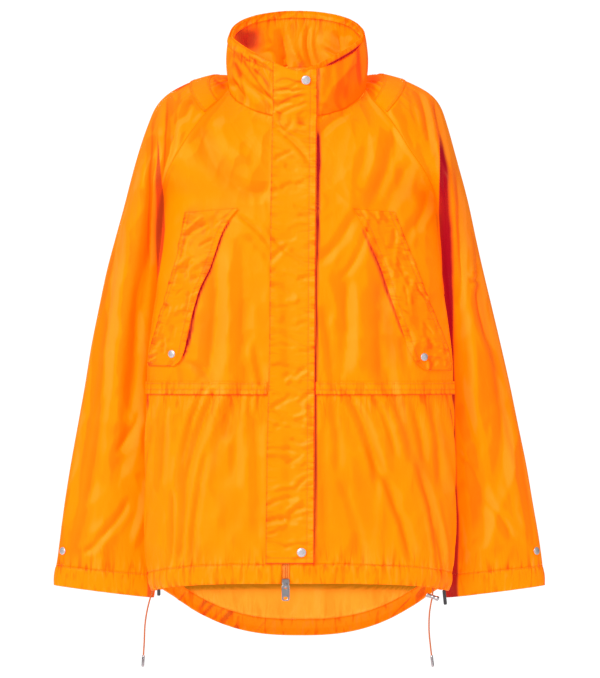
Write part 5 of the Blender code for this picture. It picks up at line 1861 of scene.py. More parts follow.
@dataclass
class Studio:
    """The camera, the lights and the floor."""

    camera_height: float = -0.3626
    camera_distance: float = 6.0
    lens: float = 227.6
    floor_z: float = -1.25
    floor_radius: float = 3.8

    def make_camera(self) -> None:
        """Place the camera straight in front and level."""
        data = bpy.data.cameras.new("camera")
        data.sensor_fit = "VERTICAL"
        data.sensor_height = 36.0
        data.lens = self.lens
        camera = link("camera", data)
        camera.location = (0.0, -self.camera_distance, self.camera_height)
        camera.rotation_euler = (math.radians(90), 0.0, 0.0)
        bpy.context.scene.camera = camera

    def make_light(self, name: str, place: tuple, size: float, power: float, glossy: bool = True) -> None:
        """Hang one soft square light that faces the jacket, and that its gloss may not show.

        Args:
            name: The light's name.
            place: Where it hangs.
            size: Its side's length, in metres.
            power: Its power, in watts.
            glossy: Whether gloss shows it.
        """
        data = bpy.data.lights.new(name, "AREA")
        data.size = size
        data.energy = power
        light = link(name, data)
        light.visible_glossy = glossy
        light.location = place
        light.rotation_euler = (Vector((0, 0, -0.35)) - Vector(place)).to_track_quat("-Z", "Y").to_euler()

    def make(self) -> None:
        """Build the studio."""
        self.make_camera()
        self.make_light("key_light", (-2.5, -4.4, 2.2), 2.6, 320)
        self.make_light("fill_light", (3.6, -4.0, 0.6), 2.6, 42)
        self.make_light("top_light", (0.0, 0.2, 3.4), 3.0, 14, False)
        self.make_light("back_light", (-0.7, 5.2, 0.7), 3.0, 190, False)
        world = bpy.data.worlds.new("studio")
        bpy.context.scene.world = world
        world.use_nodes = True
        nodes, links = world.node_tree.nodes, world.node_tree.links
        nodes["Background"].inputs["Color"].default_value = rgb(1.0, 0.99, 0.98)
        nodes["Background"].inputs["Strength"].default_value = 0.34
        paths = nodes.new("ShaderNodeLightPath")
        result = nodes["Background"].outputs[0]
        for ray, strength in (("Is Glossy Ray", 0.08), ("Is Camera Ray", 1.1)):
            other = nodes.new("ShaderNodeBackground")
            other.inputs["Color"].default_value = rgb(1, 1, 1)
            other.inputs["Strength"].default_value = strength
            mix = nodes.new("ShaderNodeMixShader")
            links.new(paths.outputs[ray], mix.inputs[0])
            links.new(result, mix.inputs[1])
            links.new(other.outputs[0], mix.inputs[2])
            result = mix.outputs[0]
        links.new(result, nodes["World Output"].inputs[0])
        bpy.context.scene.view_settings.view_transform = "Standard"
        bm = bmesh.new()
        bmesh.ops.create_circle(bm, cap_ends=True, segments=96, radius=self.floor_radius)
        bmesh.ops.translate(bm, verts=bm.verts[:], vec=(0, 0, self.floor_z))
        mesh = bpy.data.meshes.new("floor")
        bm.to_mesh(mesh)
        bm.free()
        floor = link("floor", mesh)
        shader = Shader("floor_paper")
        grain = shader.noise(30.0, 2.0)
        tone = shader.mix(grain, rgb(0.86, 0.86, 0.85), rgb(0.90, 0.90, 0.89))
        mesh.materials.append(shader.dress(Base_Color=tone, Roughness=0.9))


@dataclass
class Drawcords:
    """The hem's two free cords with their tips, the barrel lock and the elastic loops."""

    finishes: Finishes
    points: int = 5

    def route(self, side: Side) -> list[Vector]:
        """Points along a smooth curve through a cord's route.

        Args:
            side: Left or right.

        Returns:
            The points.
        """
        corners = [Vector(p) for p in CORD_ROUTE[side]]
        ends = [corners[0] * 2 - corners[1]] + corners + [corners[-1] * 2 - corners[-2]]
        line = []
        for a, b, c, d in zip(ends, ends[1:], ends[2:], ends[3:]):
            for i in range(self.points):
                t = i / self.points
                line.append(0.5 * (2 * b + (c - a) * t + (2 * a - 5 * b + 4 * c - d) * t * t
                                   + (3 * b - a - 3 * c + d) * t * t * t))
        line.append(corners[-1])
        return line

    def make(self) -> None:
        """Build the cords, their tips and the lock."""
        for side in Side:
            line = self.route(side)
            curve = bpy.data.curves.new(f"drawcord_{side.value}", "CURVE")
            curve.dimensions = "3D"
            curve.bevel_depth = CORD_RADIUS
            curve.bevel_resolution = 4
            curve.use_fill_caps = True
            spline = curve.splines.new("POLY")
            spline.points.add(len(line) - 1)
            for target, point in zip(spline.points, line):
                target.co = (*point, 1)
            curve.materials.append(self.finishes.cord)
            cord = link(f"drawcord_{side.value}", curve)
            down = (line[-1] - line[-2]).normalized()
            r, l = TIP_RADIUS, TIP_LENGTH
            profile = ((0, 0), (r * 0.72, 0), (r * 0.84, 0.0003), (r * 0.86, 0.0012), (r * 0.97, 0.0016), (r, 0.0022),
                       (r, l - 0.0020), (r * 0.95, l - 0.0012), (r * 0.85, l - 0.0006), (r * 0.62, l), (0, l))
            tip = turned(f"drawcord_tip_{side.value}", profile, 24, line[-1] + down * 0.0003, down, self.finishes.tip)
            length = sum((b - a).length for a, b in zip(line, line[1:]))
            stand_for(cord, f"cord_{side.value}")
            stand_for(tip, f"cord_tip_{side.value}")
            log.info("drawcord %s %.4f m", side.value, length)
            report(tip)
        self.make_lock()
        for side in Side:
            loop = bpy.data.objects[f"elastic_loop_{side.value}"]
            for place in loop.material_slots:
                place.material = self.finishes.rubber

    def make_lock(self) -> None:
        """Build the barrel lock on the right cord."""
        profile = ((0, 0), (0.0020, 0), (0.0029, 0.0004), (0.0034, 0.0012), (0.0034, 0.0033), (0.0031, 0.0040),
                   (0.0028, 0.0044), (0.0028, 0.0092), (0.0030, 0.0095), (0.0028, 0.0098), (0.0028, 0.0146),
                   (0.0031, 0.0150), (0.0034, 0.0157), (0.0034, 0.0178), (0.0029, 0.0186), (0.0020, 0.0190),
                   (0, 0.0190))
        lock = turned("drawcord_lock", profile, 32, LOCK_MIDDLE - LOCK_AXIS * 0.0095, LOCK_AXIS, self.finishes.tip)
        report(stand_for(lock, "cord_lock_right"))


def armhole_shadow(cloth: Cloth, side: Side) -> np.ndarray:
    """How deep the shade between a sleeve and the body is at each point of a piece, from 0 to 1.

    Args:
        cloth: The piece.
        side: Left or right.

    Returns:
        One value for each point.
    """
    x, depth = cloth.x * side.sign, -cloth.z
    edge, strength, inner, fade = (np.interp(depth, *columns) for columns in GAP_EDGES[side])
    band = smooth((edge - x) / fade) * smooth((x - inner) / 0.0014)
    return strength * band * smooth((0.02 - cloth.y) / 0.02)


@dataclass
class Body:
    """The fronts, the lower fronts, the back and their hem casings."""

    finishes: Finishes
    sewing: Sewing
    columns: int = 124
    chest_rows: int = 84

    def rows(self, face: Face, levels: Sequence[float], columns: int, first: Callable[[float], float],
             last: Callable[[float], float]) -> list[list[Vector]]:
        """Rows of points of a body piece.

        Args:
            face: The front or the back.
            levels: The level of each row.
            columns: How many columns there are.
            first: The angle of the first edge at a level.
            last: The angle of the last edge at a level.

        Returns:
            The rows.
        """
        grid = []
        for level in levels:
            low, high = first(level), last(level)
            grid.append([Form.body_point(face, level, blend(low, high, t), t) for t in fractions(columns)])
        return grid

    @staticmethod
    def edge_fade(cloth: Cloth) -> np.ndarray:
        """Hold the folds back near a piece's first column above the underarm."""
        above = smooth((cloth.z - UNDERARM_Z + 0.04) / 0.04)
        return 1 - above * (1 - smooth(cloth.inward(FIRST) / 0.010))

    @staticmethod
    def under_flap(cloth: Cloth) -> np.ndarray:
        """Hold the folds down under the storm flap, which lies close on the fronts.

        Args:
            cloth: The piece.

        Returns:
            One factor for each point.
        """
        x, z = cloth.x, cloth.z
        left = np.interp(-z, (-0.02, 0.172, 0.378, 0.672), (-0.0377, -0.0405, -0.0425, -0.0473))
        right = np.interp(-z, (-0.02, 0.172, 0.378, 0.672), (0.0236, 0.0219, 0.0205, 0.0189))
        covered = smooth((x - left + 0.004) / 0.008) * smooth((right + 0.004 - x) / 0.008)
        return 1 - 0.75 * covered

    @staticmethod
    def shade_by_flaps(cloth: Cloth) -> None:
        """Deepen the shade beside the free edges of the flaps."""
        front = cloth.y < 0
        cloth.deepen(np.clip(FLAP_SHADE.height(cloth.x, cloth.z), 0, 1) * front)

    @staticmethod
    def gap_shade(cloth: Cloth) -> np.ndarray:
        """Where the body's side lies in the deep shade of the sleeve.

        Args:
            cloth: The piece.

        Returns:
            One value for each point.
        """
        z = cloth.z
        sideways = smooth((np.abs(cloth.normals[..., 0]) - 0.93) / 0.06)
        return sideways * smooth((-0.125 - z) / 0.05) * smooth((z + 0.60) / 0.20)

    def make_front(self, side: Side) -> None:
        """Build one front from the neckline to the hem.

        Args:
            side: Left or right.
        """
        f = self.finishes
        outer = partial(Form.edge_angle, side, Face.FRONT)
        inner = partial(Form.middle_angle, x=ZIP_X + side.sign * ZIP_GAP)
        name = side.value
        levels = steps(0, UNDERARM, self.chest_rows) + steps(UNDERARM, WAIST, 112)[1:]
        front = Cloth(f"front_{name}", self.rows(Face.FRONT, levels, self.columns, outer, inner), CORE)
        front.even_out(self.chest_rows, 20, 30)
        front.lay_folds(self.edge_fade(front) * self.under_flap(front), 0.80)
        front.deepen(self.gap_shade(front) * 0.15)
        front.deepen(armhole_shadow(front, side) * smooth((front.z + 0.295) / 0.01))
        self.shade_by_flaps(front)
        front.pucker(BOTTOM, 0.0009, 0.0085, 0.012, 21, 0.2)
        front.pucker(TOP, 0.0006, 0.009, 0.010, 31)
        front.groove(BOTTOM, 0.0006, 0.0006)
        front.line_edges(TOP, FIRST, strength=0.24)
        wall(front, SHELL_WALL, (f.nylon, f.inside))
        below = steps(WAIST, CASING_TOP, 108)
        skirt = Cloth(f"skirt_{name}", self.rows(Face.FRONT, below, self.columns, outer, inner), CORE)
        skirt.lay_folds(self.under_flap(skirt), 0.62)
        skirt.deepen(self.gap_shade(skirt))
        self.shade_by_flaps(skirt)
        skirt.pucker(TOP, 0.0014, 0.0085, 0.022, 21, -0.25)
        skirt.line_edges(TOP, strength=0.7, width=0.0018)
        skirt.pucker(BOTTOM, 0.0013, 0.0065, 0.013, 23, 0.35)
        wall(skirt, SHELL_WALL, (f.nylon, f.inside))
        hem = Cloth(f"hem_front_{name}", self.rows(Face.FRONT, steps(CASING_TOP, HEM, 16), self.columns, outer, inner),
                    CORE)
        hem.lay_folds(0.5 * self.under_flap(hem))
        hem.pucker(TOP, 0.0011, 0.0065, 0.016, 23, 0.5)
        hem.roll(0.0016)
        hem.pucker(BOTTOM, 0.0010, 0.0090, 0.012, 25, -0.5)
        hem.groove(TOP, SEAM_IN, 0.0007)
        wall(hem, HEM_WALL, (f.nylon, f.rim))
        self.sewing.add(hem.sewing(TOP, SEAM_IN))

    def make_back(self) -> None:
        """Build the back and its hem casing."""
        f = self.finishes
        left, right = (partial(Form.edge_angle, side, Face.BACK) for side in Side)
        levels = steps(0, UNDERARM, 50) + steps(UNDERARM, CASING_TOP, 140)[1:]
        back = Cloth("back", self.rows(Face.BACK, levels, 132, left, right), CORE)
        ends = self.edge_fade(back) * self.edge_fade(back)[:, ::-1]
        back.even_out(50, 14, 24)
        back.lay_folds(ends)
        back.deepen(self.gap_shade(back) * 0.8)
        z = back.z
        # Painted shadow on the inside of the back, strongest just below the front hem's height, fading above and
        # below.
        below, above = np.clip(-0.7168 - z, 0, None), np.clip(z + 0.700, 0, None)
        back.lee = 0.85 * np.exp(-below / 0.0045 - above / 0.030)
        back.pucker(BOTTOM, 0.0014, 0.010, 0.020, 27, 0.3)
        back.pucker(TOP, 0.0006, 0.010, 0.010, 33)
        wall(back, SHELL_WALL, (f.nylon, f.inside))
        hem = Cloth("hem_back", self.rows(Face.BACK, steps(CASING_TOP, HEM, 14), 200, left, right), CORE)
        hem.lay_folds(0.5)
        hem.pucker(TOP, 0.0014, 0.010, 0.016, 27, 0.5)
        hem.roll(0.0012)
        hem.pucker(BOTTOM, 0.0012, 0.0085, 0.012, 29, -0.5)
        hem.groove(TOP, SEAM_IN, 0.0007)
        x = hem.x
        # Painted deep shade in the back hem casing's slanted gathers, away from the middle.
        gathers = noise_line(x - 0.9 * hem.z, 0.0038, 55) * noise_line(x, 0.019, 56)
        hem.deepen(0.50 * smooth((gathers - 0.12) / 0.22) * smooth((np.abs(x - 0.02) - 0.035) / 0.07))
        wall(hem, HEM_WALL, (f.nylon, f.rim))
        self.sewing.add(hem.sewing(TOP, SEAM_IN))

    def make(self) -> None:
        """Build the whole body."""
        for side in Side:
            self.make_front(side)
        self.make_back()


@dataclass
class Sleeves:
    """The two raglan sleeves with their cuffs and shoulder straps."""

    finishes: Finishes
    sewing: Sewing
    front_columns: int = 92
    back_columns: int = 44
    shoulder_rows: int = 84

    def make_one(self, side: Side) -> None:
        """Build one sleeve, its cuff and its strap.

        Args:
            side: Left or right.
        """
        f, name = self.finishes, side.value
        around = steps(0, 0.52, self.front_columns) + steps(0.52, 1, self.back_columns)[1:]
        core = Vector((side.sign * 0.25, 0, -0.35))
        stations = steps(0, UNDERARM, self.shoulder_rows) + steps(UNDERARM, CUFF_SEAM, 150)[1:]
        rows = [[Form.sleeve_point(side, k, v) for v in around] for k in stations]
        sleeve = Cloth(f"sleeve_{name}", rows, core)
        sleeve.closed = False
        sleeve.even_out(self.shoulder_rows, 30, 60)
        inward = sleeve.inward(FIRST)
        above = smooth((sleeve.z - UNDERARM_Z + 0.05) / 0.04)
        hold = 1 - above * (1 - smooth(np.minimum(inward, sleeve.inward(LAST)) / 0.010))
        station = np.array(stations)[:, None]
        strapped = smooth((station - 0.9) / 0.25) * smooth((2.7 - station) / 0.25)
        sleeve.lay_folds(hold * (1 - 0.97 * strapped), 1.0, *SLEEVE_FOLD_SETS)
        gathers = noise_line(inward, 0.0085, 45) + 0.5 * noise_line(inward, 0.005, 46)
        beside = np.where(station > 2.5, np.exp(-(station - 2.5) / 0.7), 0.0) + np.where(station < 1.1, 0.8, 0.0)
        sleeve.push(0.0011 * gathers * beside * hold, 0.8)
        # Painted shade on the shoulder between the strap and the collar.
        sleeve.shade += np.where(station < 1.1, 0.32, 0.0)
        on_top = smooth((sleeve.z + 0.030) / 0.012) * smooth((0.02 - sleeve.y) / 0.02)
        sleeve.shade += (SLEEVE_SHADE.height(sleeve.x, sleeve.z)
                         * np.maximum(sleeve.facing()[0], on_top))
        sleeve.deepen(armhole_shadow(sleeve, side))
        sleeve.pucker(BOTTOM, 0.0012, 0.0075, 0.016, 41, 0.2)
        sleeve.line_edges(TOP, FIRST, LAST, strength=0.18)
        wall(sleeve, SHELL_WALL, (f.nylon, f.inside))
        rows = [[Form.sleeve_point(side, k, v) for v in around] for k in steps(CUFF_SEAM, CUFF_END, 18)]
        cuff = Cloth(f"cuff_{name}", rows, core + CORE)
        cuff.lay_folds(0.5, 1.0, *SLEEVE_FOLD_SETS)
        cuff.pucker(TOP, 0.0012, 0.0075, 0.014, 41, -0.3)
        cuff.roll(0.0014)
        cuff.deepen(armhole_shadow(cuff, side))
        cuff.pucker(BOTTOM, 0.0009, 0.008, 0.010, 43, 0.4)
        cuff.groove(TOP, SEAM_IN, 0.0007)
        wall(cuff, HEM_WALL, (f.nylon, f.rim))
        self.sewing.add(cuff.sewing(TOP, SEAM_IN))
        self.make_strap(side)

    def make_strap(self, side: Side) -> None:
        """Build the flat band over one shoulder.

        Args:
            side: Left or right.
        """
        rows = [[Form.sleeve_point(side, k, v) + Form.sleeve_out(side, k, v) * STRAP_TOP
                 for v in steps(0.02, 0.98, 90)] for k in steps(1.15, 2.45, 16)]
        strap = Cloth(f"shoulder_strap_{side.value}", rows, Vector((side.sign * 0.14, 0, -0.1)))
        strap.pucker(TOP, 0.0004, 0.008, 0.006, 51)
        strap.pucker(BOTTOM, 0.0004, 0.008, 0.006, 53)
        strap.line_edges(TOP, BOTTOM, strength=0.40)
        for edge in (TOP, BOTTOM):
            strap.groove(edge, 0.0030, 0.0004)
            self.sewing.add(strap.sewing(edge, 0.0030))
        wall(strap, STRAP_WALL, (self.finishes.nylon,))

    def make(self) -> None:
        """Build both sleeves."""
        for side in Side:
            self.make_one(side)


@dataclass
class Collar:
    """The standing collar: its outer layer, its inner layer with the stowed hood, and the rim's casing."""

    finishes: Finishes
    sewing: Sewing
    columns: int = 250

    def turns(self) -> list[float]:
        """Plan angles from the zip's right edge, round the back, to its left edge."""
        first = Form.neck_turn(Vector((ZIP_X + ZIP_GAP, -0.1, 0)))
        last = Form.neck_turn(Vector((ZIP_X - ZIP_GAP, -0.1, 0))) + 2 * math.pi
        return steps(first, last, self.columns)

    def make(self) -> None:
        """Build the collar."""
        f = self.finishes
        core = Vector((NECK_CENTRE.x, NECK_CENTRE.y, 0.03))
        turns = self.turns()
        outer = Cloth("collar_outer", [[Form.collar_point(t, h) for t in turns] for h in fractions(38)], core)
        outer.lay_folds(1.0, 1.0, COLLAR_FOLDS, BACK_COLLAR_FOLDS)
        self.band_front(outer)
        outer.pucker(BOTTOM, 0.0012, 0.006, 0.010, 61, offset=RIM_BAND)
        outer.pucker(TOP, 0.0006, 0.008, 0.008, 63)
        outer.line_edges(TOP, strength=0.6, width=0.0014)
        outer.line_edges(BOTTOM, strength=0.35)
        self.shade_right(outer)
        creased = COLLAR_SHADE.height(outer.x, outer.z) * outer.facing()[0]
        outer.shade += np.clip(1.4 * creased, 0, 0.85)
        outer.ticks[0] *= 1 - smooth((outer.x - 0.024) / 0.012) * smooth((0.01 - outer.y) / 0.02)
        wall(outer, SHELL_WALL, (f.nylon,))
        inner = Cloth("collar_inner", [[Form.collar_point(t, h, False) for t in turns]
                                       for h in steps(-0.03, RIM_CASING, 37)], core)
        x, z = inner.x, inner.z
        behind = smooth((inner.y - NECK_CENTRE.y) / 0.04)
        folds = COLLAR_INSIDE_FOLDS.height(x, z) * behind
        inner.push(folds * 1.25 - 0.0016 * behind, 0.3)
        inner.shade_slopes(folds * 1.6)
        # Painted shade on the stowed hood's folds.
        inner.shade += 0.5 * np.clip(folds / 0.004, 0, 1)
        inner.line_edges(BOTTOM, strength=0.8, width=0.0022)
        # Painted deep shade inside the collar's back on the left, and in a narrow fold near the middle low down.
        inner.deepen(0.86 * behind * smooth((-0.046 - x) / 0.024) * smooth((0.086 - z) / 0.02)
                     * smooth((z - 0.034) / 0.02))
        inner.deepen(0.6 * behind * np.exp(-(((x - 0.001) / 0.004) ** 2)) * smooth((0.034 - z) / 0.010))
        inner.pucker(BOTTOM, 0.0014, 0.0075, 0.018, 65)
        wall(inner, SHELL_WALL, (f.nylon,))
        rim = Cloth("collar_rim", [[Form.collar_point(t, h, False) for t in turns]
                                   for h in steps(RIM_CASING, 1, 10)], core)
        in_front = smooth((NECK_CENTRE.y - rim.y) / 0.02)
        low = np.linspace(1, 0, rim.base.shape[0])[:, None]
        # Painted deep shade on the lower part of the rim's right front, beside the outer layer's top edge.
        rim.deepen(in_front * smooth((rim.x - 0.030) / 0.012) * smooth((low - 0.45) / 0.3))
        rim.pucker(TOP, 0.0010, 0.0075, 0.010, 65)
        rim.roll(0.0010)
        pleats = noise_line(rim.spacing(1) + 1.1 * rim.spacing(0), 0.0062, 69)
        at_back = smooth((rim.y - NECK_CENTRE.y) / 0.03)
        rim.push(-0.0010 * np.clip(pleats, 0, 1) * at_back, 0.5)
        # Painted shade in the pleats at the back.
        rim.shade += 0.42 * smooth((pleats - 0.15) / 0.25) * at_back
        rim.pucker(BOTTOM, 0.0009, 0.007, 0.010, 67, 0.8)
        wall(rim, RIM_WALL, (f.nylon,))
        self.sewing.add(rim.sewing(TOP, SEAM_IN))

    def band_front(self, outer: Cloth) -> None:
        """Swell the casing along the rim's left front, and press and sew its lower edge.

        Args:
            outer: The collar's outer layer.
        """
        inward = outer.inward(BOTTOM) / RIM_BAND
        at_left = smooth((0.004 - outer.x) / 0.006) * smooth((NECK_CENTRE.y + 0.02 - outer.y) / 0.02)
        outer.push(0.0016 * np.sin(np.pi * np.clip(inward, 0, 1)) * at_left)
        off = (inward - 1) * RIM_BAND / 0.0012
        outer.push(-0.0007 * np.exp(-off * off) * at_left, 0.0)
        # Painted shade along the pressed line.
        outer.shade += 0.45 * np.exp(-off * off) * at_left
        path = [point for point in outer.sewing(BOTTOM, RIM_BAND) if point.x < 0.002 and point.y < NECK_CENTRE.y]
        self.sewing.add(path)

    @staticmethod
    def shade_right(outer: Cloth) -> None:
        """Shade the collar's right front, which turns away from the light.

        Args:
            outer: The collar's outer layer.
        """
        x, z = outer.x, outer.z
        in_front = smooth((NECK_CENTRE.y + 0.03 - outer.y) / 0.02)
        edge = np.interp(z, (-0.046, -0.035, -0.015, -0.004, 0.011, 0.020),
                         (0.027, 0.033, 0.043, 0.055, 0.068, 0.078))
        outer.shade += 0.50 * smooth((x - edge) / 0.004) * in_front
        outer.deepen(0.75 * np.exp(-(((x - 0.0250) / 0.0013) ** 2)) * in_front * smooth((0.022 - z) / 0.01))


@dataclass
class FrontTrims:
    """What is sewn on the fronts: the storm flap, the pocket flaps and the waist's welts."""

    finishes: Finishes
    sewing: Sewing

    @staticmethod
    def flap_lift(share: float) -> float:
        """How far the storm flap's inner face stands off the front across its width."""
        return FLAP_LIFT + FLAP_RISE * ramp((share - 0.3) / 0.7)

    @staticmethod
    def level_z(level: float) -> float:
        """The height of the front's middle at a level.

        Args:
            level: The level, from 0 at the neckline.

        Returns:
            The height.
        """
        if level < UNDERARM:
            return CHEST.at(level).front_z
        if level <= WAIST:
            return blend(UNDERARM_Z, WAIST_Z, (level - UNDERARM) / (WAIST - UNDERARM))
        return blend(WAIST_Z, FRONT_HEM_Z + HEM_CASING, (level - WAIST) / (CASING_TOP - WAIST))

    def make_storm_flap(self) -> None:
        """Build the flap over the zip."""
        shares = fractions(34)
        rows = []
        edges = FLAP_EDGES.at(0.02)
        for height in steps(0.995, 0.04, 40):
            row = []
            for share in shares:
                point = Form.collar_front_at(blend(edges.left_x, edges.right_x, share), height)
                row.append(point - Vector((0, DOUBLED + self.flap_lift(share) + FLAP_OVER_COLLAR, 0)))
            rows.append(row)
        levels = steps(0.5, UNDERARM, 52) + steps(UNDERARM, CASING_TOP - 0.02, 220)[1:]
        for level in levels:
            edges = FLAP_EDGES.at(self.level_z(level))
            row = []
            for share in shares:
                x = blend(edges.left_x, edges.right_x, share)
                point = Form.body_point(Face.FRONT, level, Form.middle_angle(level, x), 1.0)
                point.x = x
                row.append(point - Vector((0, DOUBLED + self.flap_lift(share), 0)))
            rows.append(row)
        flap = Cloth("storm_flap", rows, CORE)
        flap.lay_folds(0.25)
        x, z = flap.x, flap.z
        creases = FLAP_FOLDS.height(x, z) * 0.9
        creases += FoldSet(scattered(91, 100, (-42, 18, -660, 10), 8, 35, 24, 2.8, 0.85)).height(x, z)
        flap.push(creases, 0.4)
        flap.shade_slopes(creases)
        flap.shade += np.clip(1.3 * COLLAR_SHADE.height(x, z), 0, 0.8)
        flap.pucker(LAST, 0.0010, 0.0080, 0.011, 71, 0.4)
        flap.pucker(FIRST, 0.0007, 0.0070, 0.008, 73, -0.4)
        flap.pucker(BOTTOM, 0.0005, 0.006, 0.008, 75)
        flap.groove(LAST, 0.0096, 0.0005)
        flap.groove(BOTTOM, 0.0080, 0.0004)
        flap.line_edges(FIRST, strength=0.50, width=0.0011)
        flap.line_edges(BOTTOM, strength=0.60, width=0.0010, deep=0.75)
        flap.line_edges(LAST, strength=0.60, width=0.0009, deep=0.45)
        flap.line_edges(TOP, strength=0.30)
        wall(flap, FLAP_WALL, (self.finishes.nylon,))
        self.sewing.add(flap.sewing(LAST, 0.0096))
        self.sewing.add(flap.sewing(BOTTOM, 0.0080))
        self.sewing.add(flap.sewing(FIRST, 0.0016))

    def make_pocket_flap(self, side: Side) -> None:
        """Build one slanted pocket flap.

        Args:
            side: Left or right.
        """
        table = POCKET_FLAP[side]
        rows = []
        for key in steps(0, 10, 150):
            edges = table.at(key)
            row = []
            for share in fractions(44):
                x = blend(edges.sewn_x, edges.free_x, share)
                z = blend(edges.sewn_z, edges.free_z, share)
                point, out = Form.front_at(x, z)
                row.append(point + out * (DOUBLED + POCKET_LIFT + POCKET_RISE * share * share))
            rows.append(row)
        flap = Cloth(f"pocket_flap_{side.value}", rows, CORE)
        flap.lay_folds()
        x, z = flap.x, flap.z
        box = (-210, -85, -400, -185) if side is Side.LEFT else (75, 210, -406, -185)
        lean = 50 if side is Side.LEFT else -50
        creases = FoldSet(scattered(93, 100, box, lean, 45, 20, 2.8, 0.80)).height(x, z)
        flap.push(creases, 0.4)
        flap.shade_slopes(creases)
        # Painted shade over the whole flap, stronger on the right, farther from the light.
        flap.shade += 0.04 if side is Side.LEFT else 0.12
        flap.pucker(FIRST, 0.0010, 0.0080, 0.014, 81, 0.5)
        flap.pucker(LAST, 0.0008, 0.0090, 0.012, 83, -0.3)
        for offset in (0.0016, 0.0070):
            flap.groove(FIRST, offset, 0.0005)
            self.sewing.add(flap.sewing(FIRST, offset))
        flap.line_edges(FIRST, TOP, strength=0.34, width=0.0010)
        flap.line_edges(BOTTOM, strength=0.45, width=0.0010, deep=0.20)
        flap.groove(LAST, 0.0080, 0.0004)
        self.sewing.add(flap.sewing(LAST, 0.0080))
        wall(flap, FLAP_WALL, (self.finishes.nylon,))

    def make_welt(self, side: Side) -> None:
        """Build one half of the waist's doubled band.

        Args:
            side: Left or right.
        """
        end = -0.0450 if side is Side.LEFT else 0.0215
        rows = []
        for share_down in fractions(14):
            z = blend(-0.4215, -0.4392, share_down)
            lift = blend(0.0006, 0.0014, share_down)
            half = TORSO.at(z).half_width
            low, high = section_angle(side.sign * 0.996, FRONT_ROUND), section_angle(end / half, FRONT_ROUND)
            row = []
            for share in fractions(170):
                across, along = section(blend(low, high, share), FRONT_ROUND)
                point = Form.torso_point(Face.FRONT, across, along, z)
                row.append(point + Form.torso_normal(point) * (DOUBLED + lift))
            rows.append(row)
        welt = Cloth(f"waist_welt_{side.value}", rows, CORE)
        welt.lay_folds()
        welt.pucker(BOTTOM, 0.0009, 0.0085, 0.020, 21, 0.2)
        welt.line_edges(BOTTOM, strength=0.75, width=0.0010, deep=0.42)
        welt.line_edges(LAST, strength=0.6)
        for offset in (0.0026, 0.0108):
            welt.groove(TOP, offset, 0.0005)
            self.sewing.add(welt.sewing(TOP, offset))
        wall(welt, WELT_WALL, (self.finishes.nylon,))

    def make(self) -> None:
        """Build every trim of the fronts."""
        self.make_storm_flap()
        for side in Side:
            self.make_pocket_flap(side)
            self.make_welt(side)


@dataclass
class Snaps:
    """The six snap caps."""

    finishes: Finishes
    cuff_place: tuple[float, float] = (18.45, 0.41)

    def make_one(self, name: str, centre: Vector, out: Vector, radius: float) -> None:
        """Build one cap: a smooth dome with a rounded edge.

        Args:
            name: The snap.
            centre: The middle of the cap's foot.
            out: The way out of the cloth.
            radius: The cap's radius.
        """
        r = radius
        profile = ((0, 0), (r * 0.92, 0), (r * 0.99, 0.0003), (r, 0.0006), (r * 0.985, 0.0009), (r * 0.94, 0.00115),
                   (r * 0.86, 0.00135), (r * 0.74, 0.0016), (r * 0.58, 0.0018), (r * 0.40, 0.00193),
                   (r * 0.20, 0.0020), (0, 0.0020))
        cap = turned(f"{name}_cap", profile, 48, centre, out, self.finishes.snap)
        report(stand_for(cap, name))

    def make(self) -> None:
        """Build every cap on its place."""
        out = Vector((0, -1, -0.22)).normalized()
        point = Form.collar_front_at(0.0082, 0.80)
        self.make_one("snap_collar", point + out * (DOUBLED + SNAP_LIFT + 0.0033), out, SNAP_RADIUS)
        for name, x, z, radius, lift in (("snap_hem", 0.0021, -0.6548, SNAP_RADIUS, 0.0019),
                                         ("snap_pocket_left", -0.1741, -0.3832, SMALL_SNAP_RADIUS, 0.0024),
                                         ("snap_pocket_right", 0.1686, -0.3873, SMALL_SNAP_RADIUS, 0.0024)):
            point, out = Form.front_at(x, z)
            self.make_one(name, point + out * (DOUBLED + SNAP_LIFT + lift), out, radius)
        for side in Side:
            place = (side, *self.cuff_place)
            out = Form.sleeve_out(*place)
            self.make_one(f"snap_cuff_{side.value}", Form.sleeve_point(*place) + out * 0.0006, out, SMALL_SNAP_RADIUS)


